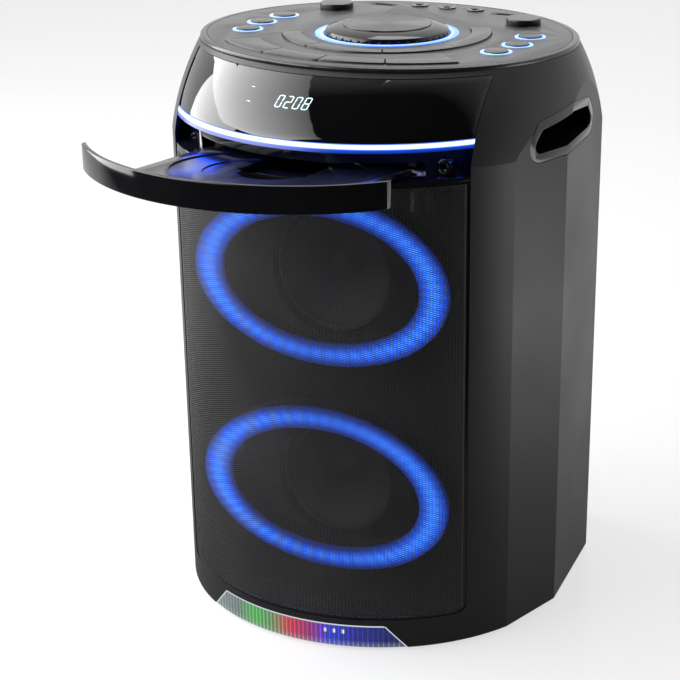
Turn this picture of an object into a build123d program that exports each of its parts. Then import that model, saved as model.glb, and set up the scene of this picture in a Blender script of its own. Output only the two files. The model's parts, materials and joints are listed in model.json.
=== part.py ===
"""Disc karaoke speaker: a faceted floor cabinet with a round control deck, a leaning display window,
a disc drawer with a curved bezel, and two woofers with oval light rings behind a curved grille.

It is drawn with the floor at Z=0 and the round deck's middle over the Z axis; +Z is up, -Y is the front.
The drawer is drawn fully open; it closes along +Y. save() then moves every piece along Y, so that the
origin of the finished part lies under the middle of the whole object.
"""
import os
from math import atan2, cos, degrees, hypot, pi, radians, sin, sqrt, tan

from build123d import *

os.makedirs("parts", exist_ok=True)

# ---------------------------------------------------------------- cabinet (millimetres)
ARC_Y = -13.4            # centre of the round front, in Y
FRONT_R = 141.5          # radius of the round front
FACET_ANGLE = 27.3       # where the round front ends, below the X axis, degrees
SIDE_X, SIDE_Y = 141.0, -26.0      # front corner of the side facet
REAR_X, REAR_Y = 132.0, 66.0       # rear corner of the side facet
BACK_X, BACK_Y = 98.0, 120.0       # corner of the flat back
WALL = 3.0               # shell wall
SHELL_BOTTOM = 2.0       # lower edge of the shells
SHELL_TOP = 388.5        # upper edge of the shells
SHOULDER_Z = 300.0       # where the shells start to taper
RIM_A, RIM_B = 131.0, 117.0        # half axes of the oval top of the shells
SHOULDER_A, SHOULDER_B = 147.5, 160.0    # half axes of the taper at the shoulder
TAPER_A, TAPER_B = 1.9, 3.1        # how quickly the taper swells along X and along Y
TAPER_STEPS = (0.0, 0.15, 0.35, 0.6, 1.0)
SEAM_Y = -26.0           # seam between the shells, below the handles
SEAM_TOP_Y = 2.0         # the same seam above the handles
FIT = 0.2                # gap round a fitted piece
REACH = 400.0            # longer than the whole object, for cutting tools

# ---------------------------------------------------------------- front opening
INSERT_X = 107.0         # half width of everything set in the front
INSERT_Z0 = 23.0         # lower edge of the front opening
INSERT_DROP = 2.5        # its upper edge, below the top of the shells
INSERT_CORNER = 6.0      # its lower corner radius
INSERT_Y = -55.0         # how far back the opening reaches round the sides
GRILLE_SET = 0.5         # grille face behind the shell face
GRILLE_T = 1.4           # grille sheet
GRILLE_BORDER = 1.7      # frame round the grille
GRILLE_FRAME_T = 3.0     # depth of that frame
FASCIA_Z0 = 326.0        # top of the grille, foot of the drawer recess
BAR_Z0 = 346.2           # lower edge of the light bar
BAR_Z1 = 351.5           # upper edge of the light bar
BAR_DEPTH = 6.0
WINDOW_SET = 0.6         # window face behind the shell face
WINDOW_T = 2.5

# ---------------------------------------------------------------- drawer recess
RECESS_DEPTH = 11.0      # from the front face to the wall at the back of the recess
RECESS_WALL = 2.5
LIP_T = 2.4              # floor of the recess
SLOT_X = 80.5            # half width of the drawer slot
SLOT_H = 9.1             # height of the drawer slot
SENSOR_R = 3.6
SENSOR_Z = 341.6
SENSOR_PROUD = 1.0
SOCKET_X = 90.9
SOCKET_Z = 334.4
SOCKET_R = 5.0
SOCKET_BORE_R = 1.8
PINHOLE_R = 2.2          # small emergency-release bush on the left
PINHOLE_BORE_R = 0.8

# ---------------------------------------------------------------- drawer
TRAVEL = 108.0           # how far the drawer runs, along its slope
LEAN = 4.2               # slope of the drive in degrees, front end up
LEAN_Y, LEAN_Z = -127.0, 332.0     # the line about which the drive leans
DISC_Y = -62.0           # disc centre with the drawer shut
TRAY_X = 69.5            # half width
TRAY_Z0 = 329.5
TRAY_Z1 = 333.8
TRAY_SPLIT_Z = 331.6     # underside of the overhang that hides the rack
TRAY_REAR_Y = 37.0       # rear edge with the drawer shut
DISC_WELL_R = 61.0
DISC_WELL_D = 1.2
SINGLE_WELL_R = 40.8
SINGLE_WELL_D = 1.0
CUTOUT_X = 23.0          # half width of the opening for the pickup
CUTOUT_FRONT = 19.0      # how far it runs in front of the disc centre
BEZEL_X = 103.5
BEZEL_T = 3.0
BEZEL_Z0 = 328.9
BEZEL_Z1 = 345.6
RACK_PITCH_X = 67.9      # pitch line of the rack
MODULE = 1.0
GEAR_TEETH = 14
TOOTH_SHARE = 0.40       # tooth thickness as a share of the pitch
ADDENDUM = 0.8
DEDENDUM = 0.95
GEAR_Y = -106.0
GEAR_Z0, GEAR_Z1 = 329.9, 331.3
GEAR_HUB_R = 4.0
SHAFT_R = 1.0
RUNNING = 0.05           # radial gap of a turning shaft

# ---------------------------------------------------------------- disc mechanism
CHASSIS_X = 72.4
CHASSIS_Y0, CHASSIS_Y1 = -112.0, 53.0
CHASSIS_Z = 318.0        # underside of the chassis floor
CHASSIS_T = 2.0
SIDE_GAP = 0.4           # between drawer and chassis wall
CHASSIS_WALL_Z = 338.0
LEDGE_W = 6.0
GUIDE_GAP = 0.3
EAR_X = 86.0             # chassis ear that carries the gear
MOTOR_R, MOTOR_H = 8.0, 13.0
SPINDLE_MOTOR_R, SPINDLE_MOTOR_H = 12.0, 6.5
TURNTABLE_R = 13.5
TURNTABLE_Z0, TURNTABLE_Z1 = 324.0, 328.8
RAIL_X, RAIL_Z, RAIL_R = 18.0, 324.0, 1.5
RAIL_Y0, RAIL_Y1 = -43.0, 21.0
RAIL_POST = 4.0
SLED_X = 22.0
SLED_Y0, SLED_Y1 = -39.0, -19.0
SLED_Z0, SLED_Z1 = 321.5, 326.5
LENS_R, LENS_H = 3.0, 1.8
BRIDGE_W, BRIDGE_T = 16.0, 2.0
PUCK_R, PUCK_NECK_R, PUCK_CAP_R = 14.0, 5.0, 8.0
PUCK_DROP = 2.7
POST_R = 4.0

# ---------------------------------------------------------------- speaker chamber
BASE_Z0, BASE_Z1 = 3.0, 7.0
FOOT_R = 11.0
FOOT_X, FOOT_Y = 88.0, 74.0
BAFFLE_Y0, BAFFLE_Y1 = -92.0, -82.0
BAFFLE_TOP = 316.0
SHELF_Z0, SHELF_Z1 = 308.0, 311.0
WOOFER_Z = {"lower": 96.2, "upper": 247.2}
WOOFER_HOLE_R = 44.0
FLANGE_R = 57.0
FLANGE_T = 2.5
BASKET_D = 32.0          # flange face to back plate
BASKET_R = 36.0          # back of the basket
MAGNET_R, MAGNET_T = 34.0, 20.0
CONE_R = 37.9
COIL_R = 11.0
CONE_D = 15.6
STROKE = 3.0             # how far a cone moves each way
SCREW_RING_R = 53.5
SCREW_R, SCREW_HEAD_R, SCREW_L = 1.5, 3.0, 9.0
SCREW_HEAD_T = 2.0
RING_DEPTH = 45.0        # from the foremost point of the grille to the flat face of the light rings
RING_T = 3.0
RING_A, RING_B = 94.0, 59.0        # outer half axes of an oval light ring
RING_HOLE_A, RING_HOLE_B = 73.2, 43.8    # half axes of its hole
CHAMBER_T = 1.6          # walls of the trough behind a ring
PORT_Z, PORT_R, PORT_T, PORT_L = 180.0, 22.0, 2.0, 68.0
INLET_Z, INLET_X, INLET_H, INLET_L = 50.0, 24.0, 16.0, 20.0
INLET_MOUTH_X, INLET_MOUTH_H, INLET_DEEP = 18.0, 9.0, 13.0
CIRCUIT_T = 1.6          # circuit boards
MAIN_X = 55.0            # half width of the main board
MAIN_SPACE = 14.0        # from the main board to the back
CHIP, CHIP_H, CHIP_STEP = 16.0, 2.4, 26.0
CAN_R, CAN_H, CAN_X, CAN_STEP = 5.0, 14.4, 44.0, 13.0
POWER_X0, POWER_X1 = 76.0, 104.0   # from the middle to the amplifier and the transformer
POWER_Y0, POWER_Y1 = -30.0, 50.0
CORE_L, CORE_H = 40.0, 20.0        # transformer
FINS, FIN_T, FIN_STEP, FIN_H = 6, 2.0, 3.6, 12.0
FIN_BASE = 3.4
BLOCK = 15.0
BLOCK_L = 40.0
BLOCK_X = 70.0
BLOCK_ZS = (40.0, 266.0)

# ---------------------------------------------------------------- handles (Y, Z outline)
HANDLE_POINTS = ((-64, 334), (-52, 349), (-14, 353.5), (24, 349), (40, 334))
HANDLE_CORNER = 5.0
HANDLE_LIP = 6.0
HANDLE_BACK_X = 112.0    # floor of the pocket
HANDLE_FLOOR = 4.0
SEAM_STEP_Z = 343.0      # height at which the shell seam steps, inside the pocket

# ---------------------------------------------------------------- base light
BASE_LIGHT_X0, BASE_LIGHT_X1 = 75.5, 62.0     # half widths at foot and top
BASE_LIGHT_TOP = 18.5
BASE_LIGHT_CORNER = 3.0
STRIP_T = 1.2

# ---------------------------------------------------------------- control deck
PANEL_A, PANEL_B = 126.0, 112.6
PANEL_T = 3.0
PANEL_GAP = 0.15
RIM_H = 3.0
RIM_SKIRT = 4.0
RIM_SKIRT_IN = 4.0       # how far the skirt reaches in under the deck
BOARD_A, BOARD_B, BOARD_T = 118.0, 104.5, 1.6
BOARD_DROP = 9.5         # from the panel's underside down to the key board
BOSS_R = 3.0
BOSSES = ((-108.0, 10.0), (108.0, 10.0), (-30.0, -78.0), (30.0, -78.0), (-85.0, -52.0), (86.0, -52.0),
          (-72.0, 40.0), (75.0, 42.0))
DECK_Y = -2.6            # centre of the round controls
DECK_GAP = 0.35          # gap round a button
PROUD = 1.1
KEY_DROP = 4.5           # from the panel's underside down to the foot of a key
KEY_FLANGE_T = 4.0       # thickness of the collar that keeps a key in
KEY_FLANGE = 1.2
PRESS = 1.0
SWITCH = 6.0
JOG_R, JOG_BEVEL_R, JOG_DISC_R = 42.5, 32.5, 29.8
JOG_GAP = 0.4
JOG_SKIRT_H, JOG_H, JOG_DISC_T = 2.8, 5.4, 1.4
JOG_NOTCHES = 40
LIGHT_R0, LIGHT_R1 = 43.2, 48.9
LIGHT_D = 2.0
SHAFT_KNOB_R = 3.0
POT, POT_H = 14.0, 5.0
SEGMENT_R0, SEGMENT_R1 = 57.3, 70.7
SEGMENT_AZ = (-65.0, -23.0, 23.0, 65.0, 125.0)   # azimuth from the front, towards +X
SEGMENT_GAP = 0.7
ROW_R0 = 87.3
ROW_R1, ROW_Y = 133.0, 29.0
ROW_AZ = (-50.0, -25.0, 0.0, 25.0, 50.0)
ROUND_KEYS = {"left_rear": (-93.6, 23.8), "left_mid": (-95.7, -4.5), "left_front": (-91.8, -31.1),
              "right_rear": (93.6, 23.8), "right_mid": (95.7, -4.5), "right_front": (91.8, -31.1)}
ROUND_KEY_R = 8.0
ROUND_LIGHT_W = 2.1
DIAL_X, DIAL_Y, DIAL_R, DIAL_H = 72.5, 64.0, 12.0, 4.2
JACK_XS, JACK_Y = (-22.0, 0.0, 22.0), 98.0
JACK_R, JACK_BORE_R, JACK_NUT_R, JACK_NUT_T = 5.0, 3.2, 6.1, 0.9
USB_X, USB_Y = 48.0, 91.5
USB_W, USB_D, USB_MOUTH_W, USB_MOUTH_D, USB_DEEP = 19.2, 8.0, 14.0, 5.2, 9.0
DISPLAY_X, DISPLAY_H, DISPLAY_T = 42.0, 22.0, 4.0
DISPLAY_Z = 367.0

# ---------------------------------------------------------------- worked out from the sizes above
PANEL_Z0 = SHELL_TOP
PANEL_TOP = PANEL_Z0 + PANEL_T
FASCIA_R = FRONT_R - GRILLE_SET
INSERT_Z1 = SHELL_TOP - INSERT_DROP
RECESS_R = FASCIA_R - RECESS_DEPTH
RING_Y = ARC_Y - FASCIA_R + RING_DEPTH
BOARD_TOP = PANEL_Z0 - BOARD_DROP
KEY_Z0 = PANEL_Z0 - KEY_DROP
LIP_TOP = FASCIA_Z0 + FIT + LIP_T
GEAR_PITCH_R = MODULE * GEAR_TEETH / 2
GEAR_X = RACK_PITCH_X + GEAR_PITCH_R
PITCH = MODULE * pi
FLOOR_TOP = CHASSIS_Z + CHASSIS_T
OPEN_DISC_Y = DISC_Y - TRAVEL
OPEN_Y, OPEN_Z = TRAVEL * cos(radians(LEAN)), TRAVEL * sin(radians(LEAN))
FRONT_END = ARC_Y - FASCIA_R - OPEN_Y
BACK_END = BACK_Y + SCREW_HEAD_T
ORIGIN_Y = (FRONT_END + BACK_END) / 2


def leaned(shape):
    """A piece of the drive, drawn level, turned to the drive's slope."""
    return Pos(0, LEAN_Y, LEAN_Z) * Rot(-LEAN, 0, 0) * Pos(0, -LEAN_Y, -LEAN_Z) * shape


def save(name, shape):
    export_step(Pos(0, -ORIGIN_Y, 0) * shape, f"parts/{name}.step")


def box(x0, x1, y0, y1, z0, z1):
    return Pos((x0 + x1) / 2, (y0 + y1) / 2, (z0 + z1) / 2) * Box(x1 - x0, y1 - y0, z1 - z0)


def rod(x, y, r, z0, z1):
    return Pos(x, y, (z0 + z1) / 2) * Cylinder(r, z1 - z0)


def rod_y(x, z, r, y0, y1):
    return Pos(x, (y0 + y1) / 2, z) * Rot(90, 0, 0) * Cylinder(r, y1 - y0)


def oval(a, b, z0, z1):
    return Pos(0, 0, z0) * extrude(Ellipse(a, b), z1 - z0)


def group(solids):
    return Compound(children=list(solids))


def in_slice(half_x, z0, z1):
    """Everything in front of the arc's centre, within half_x of the middle and between two heights."""
    return box(-half_x, half_x, -REACH, ARC_Y, z0, z1)


def front_wall(r_out, r_in, half_x, z0, z1):
    """A wall that follows the round front."""
    return (rod(0, ARC_Y, r_out, z0, z1) - rod(0, ARC_Y, r_in, z0, z1)) & in_slice(half_x, z0, z1)


def facing_front(face, y, z, depth):
    """Extrude a face, drawn in X and Z, from y towards the front."""
    return extrude(Pos(0, y, z) * (Plane.XZ * face), depth)


# ---------------------------------------------------------------- cabinet
def outline():
    x1 = FRONT_R * cos(radians(FACET_ANGLE))
    y1 = ARC_Y - FRONT_R * sin(radians(FACET_ANGLE))
    right = [(x1, y1), (SIDE_X, SIDE_Y), (REAR_X, REAR_Y), (BACK_X, BACK_Y)]
    left = [(-x, y) for x, y in reversed(right)]
    arc = ThreePointArc((-x1, y1), (0, ARC_Y - FRONT_R), (x1, y1))
    return make_face(Curve() + [arc, Polyline(*right, *left)])


def taper_axes(z):
    t = min(1.0, max(0.0, (SHELL_TOP - z) / (SHELL_TOP - SHOULDER_Z)))
    a = RIM_A + (SHOULDER_A - RIM_A) * (1 - (1 - t) ** TAPER_A)
    b = RIM_B + (SHOULDER_B - RIM_B) * (1 - (1 - t) ** TAPER_B)
    return a, b


def taper(inset):
    """The tapering upper part: ovals that shrink towards the deck."""
    sections = []
    for step in TAPER_STEPS:
        z = SHELL_TOP - step * (SHELL_TOP - SHOULDER_Z)
        a, b = taper_axes(z)
        sections.append(Pos(0, 0, z) * Ellipse(a - inset, b - inset))
    return loft(sections)


def prism(inset, z0, z1):
    face = outline() if inset == 0 else offset(outline(), -inset, kind=Kind.INTERSECTION)
    return Pos(0, 0, z0) * extrude(face, z1 - z0)


def cabinet(inset):
    upper = prism(inset, SHOULDER_Z, SHELL_TOP) & taper(inset)
    return prism(inset, SHELL_BOTTOM, SHOULDER_Z) + upper


OUTER = cabinet(0)
INNER = cabinet(WALL)
SNUG = prism(WALL + FIT, SHELL_BOTTOM, SHOULDER_Z + (BAFFLE_TOP - SHOULDER_Z))


def handle_face(grow):
    face = make_face(Polyline(*HANDLE_POINTS, close=True))
    face = fillet(face.vertices(), HANDLE_CORNER)
    return offset(face, grow) if grow else face


def handle_plug(grow, x0):
    return extrude(Plane.YZ.offset(x0) * handle_face(grow), SIDE_X + WALL - x0)


def both_sides(shape):
    return shape + mirror(shape, about=Plane.YZ)


def front_opening():
    foot = box(-INSERT_X, INSERT_X, -REACH, INSERT_Y, INSERT_Z0, INSERT_Z1)
    edges = foot.edges().filter_by(Axis.Y).group_by(Axis.Z)[0]
    return fillet(edges, INSERT_CORNER)


def base_light_face(grow):
    points = ((-BASE_LIGHT_X0, SHELL_BOTTOM), (BASE_LIGHT_X0, SHELL_BOTTOM),
              (BASE_LIGHT_X1, BASE_LIGHT_TOP), (-BASE_LIGHT_X1, BASE_LIGHT_TOP))
    face = make_face(Polyline(*points, close=True))
    face = fillet(face.vertices().group_by(Axis.Y)[-1], BASE_LIGHT_CORNER)
    return offset(face, grow) if grow else face


def block_places():
    return [(side * BLOCK_X, z) for side in (-1, 1) for z in BLOCK_ZS]


def shells():
    shell = OUTER - INNER
    shell -= both_sides(handle_plug(HANDLE_LIP + FIT, HANDLE_BACK_X - HANDLE_FLOOR - FIT))
    ahead = box(-REACH, REACH, -REACH, SEAM_Y, 0, SEAM_STEP_Z)
    ahead += box(-REACH, REACH, -REACH, SEAM_TOP_Y, SEAM_STEP_Z, REACH + SHELL_TOP)
    front = (shell & ahead) - front_opening()
    front -= facing_front(base_light_face(FIT), ARC_Y, 0, REACH)
    rear = shell - ahead
    rear -= rod_y(0, PORT_Z, PORT_R + PORT_T + FIT, BACK_Y - BLOCK, BACK_Y + WALL)
    rear -= box(-INLET_X / 2 - FIT, INLET_X / 2 + FIT, BACK_Y - BLOCK, BACK_Y + WALL,
                INLET_Z - INLET_H / 2 - FIT, INLET_Z + INLET_H / 2 + FIT)
    for x, z in block_places():
        rear -= rod_y(x, z, SCREW_R + RUNNING, BACK_Y - 2 * WALL, BACK_Y + WALL)
    save("front_shell", front)
    save("rear_shell", rear)


def handles():
    cup = handle_plug(HANDLE_LIP, HANDLE_BACK_X - HANDLE_FLOOR) & OUTER
    cup -= handle_plug(0, HANDLE_BACK_X)
    save("handle_pockets", group([cup, mirror(cup, about=Plane.YZ)]))


def base():
    plate = prism(WALL + FIT, BASE_Z0, BASE_Z1)
    save("base_plate", plate)
    save("rubber_feet", group(rod(x, y, FOOT_R, 0, BASE_Z0)
                              for x in (-FOOT_X, FOOT_X) for y in (-FOOT_Y, FOOT_Y)))
    inside = rod(0, ARC_Y, FRONT_R - GRILLE_SET, 0, BASE_LIGHT_TOP * 2)
    inside -= rod(0, ARC_Y, FRONT_R - WALL, 0, BASE_LIGHT_TOP * 2)
    lens = facing_front(base_light_face(0), ARC_Y, 0, REACH) & inside
    save("base_light_window", lens)
    r_strip = FRONT_R - WALL - FIT
    strip = front_wall(r_strip, r_strip - STRIP_T, BASE_LIGHT_X1, BASE_Z1, BASE_LIGHT_TOP)
    for i in range(-5, 6):
        turn = radians(i * 4.4)
        x, y = (r_strip - STRIP_T) * sin(turn), ARC_Y - (r_strip - STRIP_T) * cos(turn)
        chip = Pos(x, y, (BASE_Z1 + BASE_LIGHT_TOP) / 2) * Rot(0, 0, degrees(turn)) * Box(4, 2 * STRIP_T, 4)
        strip += chip & rod(0, ARC_Y, r_strip, 0, REACH)
    half = INSERT_X - FIT
    behind = cabinet(BAR_DEPTH + FIT) - cabinet(BAR_DEPTH + FIT + STRIP_T)
    save("led_strips", group([strip, behind & in_slice(half - BLOCK, BAR_Z0 + FIT / 2, BAR_Z1)]))


# ---------------------------------------------------------------- front insert
def grille():
    z0, z1 = INSERT_Z0 + FIT, FASCIA_Z0
    half = INSERT_X - FIT
    trim = half - GRILLE_BORDER
    face = Pos(0, (z0 + z1) / 2) * Rectangle(2 * half, z1 - z0)
    face = fillet(face.vertices().group_by(Axis.Y)[0], INSERT_CORNER)
    hole = Pos(0, (z0 + z1) / 2) * Rectangle(2 * trim, z1 - z0 - 2 * GRILLE_BORDER)
    hole = fillet(hole.vertices().group_by(Axis.Y)[0], INSERT_CORNER - GRILLE_BORDER)
    ring = rod(0, ARC_Y, FASCIA_R, 0, FASCIA_Z0) - rod(0, ARC_Y, FASCIA_R - GRILLE_FRAME_T, 0, FASCIA_Z0)
    frame = facing_front(face - hole, ARC_Y, 0, REACH) & ring
    save("grille_frame", frame)
    sheet = rod(0, ARC_Y, FASCIA_R, 0, FASCIA_Z0) - rod(0, ARC_Y, FASCIA_R - GRILLE_T, 0, FASCIA_Z0)
    inner = offset(hole, -RUNNING)
    save("speaker_grille", facing_front(inner, ARC_Y, 0, REACH) & sheet)


def fascia():
    z0 = FASCIA_Z0 + FIT
    half = INSERT_X - FIT
    z1 = BAR_Z0
    wall = front_wall(RECESS_R, RECESS_R - RECESS_WALL, half, z0, z1)
    wall += front_wall(FASCIA_R, RECESS_R - RECESS_WALL, half, z0, LIP_TOP)
    wall -= box(-SLOT_X, SLOT_X, -REACH, ARC_Y, LIP_TOP, LIP_TOP + SLOT_H)
    wall += box(-POST_R, POST_R, -REACH, ARC_Y, LIP_TOP + SLOT_H, z1) \
        & rod(0, ARC_Y, RECESS_R, z0, z1) - rod(0, ARC_Y, RECESS_R - 2 * RECESS_WALL, z0, z1)
    wall -= rod_y(0, SENSOR_Z, SENSOR_R + FIT, -REACH, ARC_Y) & box(
        -SOCKET_R, SOCKET_R, -REACH, ARC_Y - RECESS_R + RECESS_WALL, z0, REACH)
    for side, r in ((-1, PINHOLE_R), (1, SOCKET_R)):
        wall -= rod_y(side * SOCKET_X, SOCKET_Z, r + FIT, -REACH, ARC_Y)
    save("drawer_fascia", wall)
    y0 = ARC_Y - RECESS_R - SENSOR_PROUD
    sensor = rod_y(0, SENSOR_Z, SENSOR_R, y0, y0 + SENSOR_PROUD + RECESS_WALL)
    y_side = ARC_Y - sqrt(RECESS_R ** 2 - SOCKET_X ** 2)
    socket = rod_y(SOCKET_X, SOCKET_Z, SOCKET_R, y_side - 4 * SENSOR_PROUD, y_side + 12)
    socket -= rod_y(SOCKET_X, SOCKET_Z, SOCKET_BORE_R, y_side - 5 * SENSOR_PROUD, y_side + 10)
    bush = rod_y(-SOCKET_X, SOCKET_Z, PINHOLE_R, y_side - 2 * SENSOR_PROUD, y_side + 6)
    bush -= rod_y(-SOCKET_X, SOCKET_Z, PINHOLE_BORE_R, y_side - 4 * SENSOR_PROUD, y_side + 8)
    save("front_sockets", group([sensor, socket, bush]))


def lit_front():
    half = INSERT_X - FIT
    bar = (cabinet(FIT) - cabinet(BAR_DEPTH)) & in_slice(half, BAR_Z0 + FIT / 2, BAR_Z1)
    save("light_bar", bar)
    window = (cabinet(WINDOW_SET) - cabinet(WINDOW_SET + WINDOW_T))
    save("display_window", window & in_slice(half, BAR_Z1 + FIT / 2, INSERT_Z1 - FIT))
    a, b = taper_axes(DISPLAY_Z)
    a_top, b_top = taper_axes(DISPLAY_Z + DISPLAY_H / 2)
    a_foot, b_foot = taper_axes(DISPLAY_Z - DISPLAY_H / 2)
    deep = WINDOW_SET + WINDOW_T + FIT
    edge = [-(v - deep) * sqrt(1 - (DISPLAY_X / (u - deep)) ** 2)
            for u, v in ((a_top, b_top), (a_foot, b_foot))]
    lean = degrees(atan2(edge[0] - edge[1], DISPLAY_H))
    mid = -(b - deep) * sqrt(1 - (DISPLAY_X / (a - deep)) ** 2) + 4 * FIT
    module = Pos(0, mid, DISPLAY_Z) * Rot(-lean, 0, 0) * Pos(0, DISPLAY_T / 2, 0) \
        * Box(2 * DISPLAY_X, DISPLAY_T, DISPLAY_H)
    save("display_module", module)


# ---------------------------------------------------------------- speaker chamber
def ring_face(inset=0.0):
    """The outline of a light ring, narrowed by an inset on both sides."""
    return Ellipse(RING_A - inset, RING_B - inset) - Ellipse(RING_HOLE_A + inset, RING_HOLE_B + inset)


def turned(points, z):
    """A piece turned round the woofer's axis; points are (radius, y)."""
    return Pos(0, 0, z) * revolve(make_face(Polyline(*points, close=True)), Axis.Y)


def screw_places():
    turn = [radians(45 + 90 * i) for i in range(4)]
    return [(SCREW_RING_R * cos(t), z + SCREW_RING_R * sin(t)) for z in WOOFER_Z.values() for t in turn]


def speaker():
    baffle = SNUG & box(-REACH, REACH, BAFFLE_Y0, BAFFLE_Y1, BASE_Z1, BAFFLE_TOP)
    baffle -= leaned(box(-CHASSIS_X - FIT, CHASSIS_X + FIT, CHASSIS_Y0, CHASSIS_Y1, CHASSIS_Z - FIT, CHASSIS_WALL_Z))
    for z in WOOFER_Z.values():
        baffle -= rod_y(0, z, WOOFER_HOLE_R, BAFFLE_Y0 - 1, BAFFLE_Y1 + 1)
    y_flange = BAFFLE_Y1
    y_rear = y_flange + FLANGE_T
    y_plate = y_flange + BASKET_D
    for x, z in screw_places():
        baffle -= rod_y(x, z, SCREW_R, y_rear - SCREW_L, y_rear)
    save("baffle", baffle)
    screws = []
    for x, z in screw_places():
        shank = rod_y(x, z, SCREW_R, y_rear - SCREW_L, y_rear)
        screws.append(shank + rod_y(x, z, SCREW_HEAD_R, y_rear, y_rear + SCREW_HEAD_T))
    frames = []
    surrounds = []
    lights = []
    chambers = []
    for name, z in WOOFER_Z.items():
        basket = turned(((CONE_R + 3, y_flange), (FLANGE_R, y_flange), (FLANGE_R, y_rear),
                         (FLANGE_R - 7, y_rear), (BASKET_R, y_plate - 2), (BASKET_R, y_plate),
                         (COIL_R + 3, y_plate), (COIL_R + 3, y_plate - 2), (BASKET_R - 3, y_plate - 2),
                         (FLANGE_R - 10, y_rear), (CONE_R + 3, y_rear)), z)
        for x, zs in screw_places():
            basket -= rod_y(x, zs, SCREW_R, y_flange - 1, y_rear + 1)
        frames += [basket, rod_y(0, z, MAGNET_R, y_plate, y_plate + MAGNET_T)]
        rim_r = WOOFER_HOLE_R - FIT
        surrounds.append(turned(((CONE_R + 0.1, y_flange), (rim_r, y_flange), (rim_r, y_flange - 1),
                                 (rim_r - 2, y_flange - 3), (CONE_R + 1, y_flange - 2.4),
                                 (CONE_R + 0.1, y_flange - 1)), z))
        y_neck = y_flange + CONE_D
        y_coil = y_plate - STROKE - FIT
        cone = turned(((CONE_R, y_flange - 0.6), (COIL_R, y_neck - 1), (0, y_neck - 5), (0, y_neck - 4),
                       (COIL_R - 1, y_neck), (COIL_R - 1, y_coil), (COIL_R, y_coil),
                       (COIL_R, y_neck), (CONE_R, y_flange + 0.4)), z)
        save(f"woofer_cone_{name}", cone)
        lights.append(facing_front(ring_face(), RING_Y + RING_T, z, RING_T))
        trough = facing_front(ring_face(), BAFFLE_Y0, z, BAFFLE_Y0 - RING_Y - RING_T - FIT)
        trough -= facing_front(ring_face(CHAMBER_T), BAFFLE_Y0 - CHAMBER_T, z, BAFFLE_Y0 - RING_Y)
        chambers.append(trough)
    save("woofer_frames", group(frames))
    save("woofer_surrounds", group(surrounds))
    save("light_rings", group(lights))
    save("light_chambers", group(chambers))
    shelf = SNUG & leaned(box(-REACH, REACH, -REACH, REACH, SHELF_Z0, SHELF_Z1))
    shelf &= box(-REACH, REACH, BAFFLE_Y1, REACH, 0, REACH)
    shelf -= rod_y(0, WOOFER_Z["upper"], FLANGE_R + GUIDE_GAP, BAFFLE_Y1, y_rear + GUIDE_GAP)
    for x, z in screw_places():
        shelf -= rod_y(x, z, SCREW_HEAD_R + GUIDE_GAP, BAFFLE_Y1, y_rear + SCREW_HEAD_T + GUIDE_GAP)
    save("divider_shelf", shelf)
    port = rod_y(0, PORT_Z, PORT_R + PORT_T, BACK_Y - PORT_L, BACK_Y)
    port += rod_y(0, PORT_Z, PORT_R + 3 * PORT_T, BACK_Y - WALL - FIT - PORT_T, BACK_Y - WALL - FIT)
    port -= rod_y(0, PORT_Z, PORT_R, BACK_Y - PORT_L - 1, BACK_Y + 1)
    save("bass_port", port)
    blocks = []
    back = BACK_Y - WALL
    for x, z in block_places():
        block = box(x - BLOCK / 2, x + BLOCK / 2, back - BLOCK, back, z - BLOCK_L / 2, z + BLOCK_L / 2)
        blocks.append(block - rod_y(x, z, SCREW_R, back - SCREW_L, back))
        shank = rod_y(x, z, SCREW_R, back - SCREW_L, BACK_Y)
        screws.append(shank + rod_y(x, z, SCREW_HEAD_R, BACK_Y, BACK_END))
    save("corner_blocks", group(blocks))
    save("screws", group(screws))


def electronics():
    x, z = INLET_X / 2, INLET_H / 2
    inlet = box(-x, x, BACK_Y - INLET_L, BACK_Y, INLET_Z - z, INLET_Z + z)
    inlet += box(-x - 2, x + 2, BACK_Y - WALL - FIT - 2, BACK_Y - WALL - FIT, INLET_Z - z - 2, INLET_Z + z + 2)
    mouth = Rectangle(INLET_MOUTH_X, INLET_MOUTH_H)
    mouth = fillet(mouth.vertices(), INLET_MOUTH_H / 2 - RUNNING)
    inlet -= facing_front(mouth, BACK_Y, INLET_Z, INLET_DEEP)
    save("power_inlet", inlet)
    top = SHELF_Z1
    front = CHASSIS_Y1 + CHIP / 2
    board = box(-MAIN_X, MAIN_X, front, BACK_Y - MAIN_SPACE, top, top + CIRCUIT_T)
    chips = [Pos(CHIP_STEP * (i - 1), front + CHIP, top + CIRCUIT_T + CHIP_H / 2) * Box(CHIP, CHIP, CHIP_H)
             for i in range(3)]
    cans = [rod(CAN_X, front + CAN_STEP * (i + 0.6), CAN_R, top + CIRCUIT_T, top + CIRCUIT_T + CAN_H)
            for i in range(2)]
    save("main_board", leaned(group([board, *chips, *cans])))
    core = box(-POWER_X1, -POWER_X0, POWER_Y1 - CORE_L, POWER_Y1, top, top + CORE_H)
    core = fillet(core.edges().filter_by(Axis.Z), 3)
    foot = top + CIRCUIT_T
    x0 = POWER_X0 + FIN_STEP
    x1 = x0 + (FINS - 1) * FIN_STEP + FIN_T
    y0, y1 = POWER_Y0 + FIN_STEP, POWER_Y1 - FIN_STEP
    sink = box(x0, x1, y0, y1, foot, foot + FIN_BASE)
    for i in range(FINS):
        x = x0 + FIN_STEP * i
        sink += box(x, x + FIN_T, y0, y1, foot + FIN_BASE, foot + FIN_BASE + FIN_H)
    plate = box(POWER_X0, POWER_X1, POWER_Y0, POWER_Y1, top, foot)
    save("amplifier_unit", leaned(group([core, plate, sink])))


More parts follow.
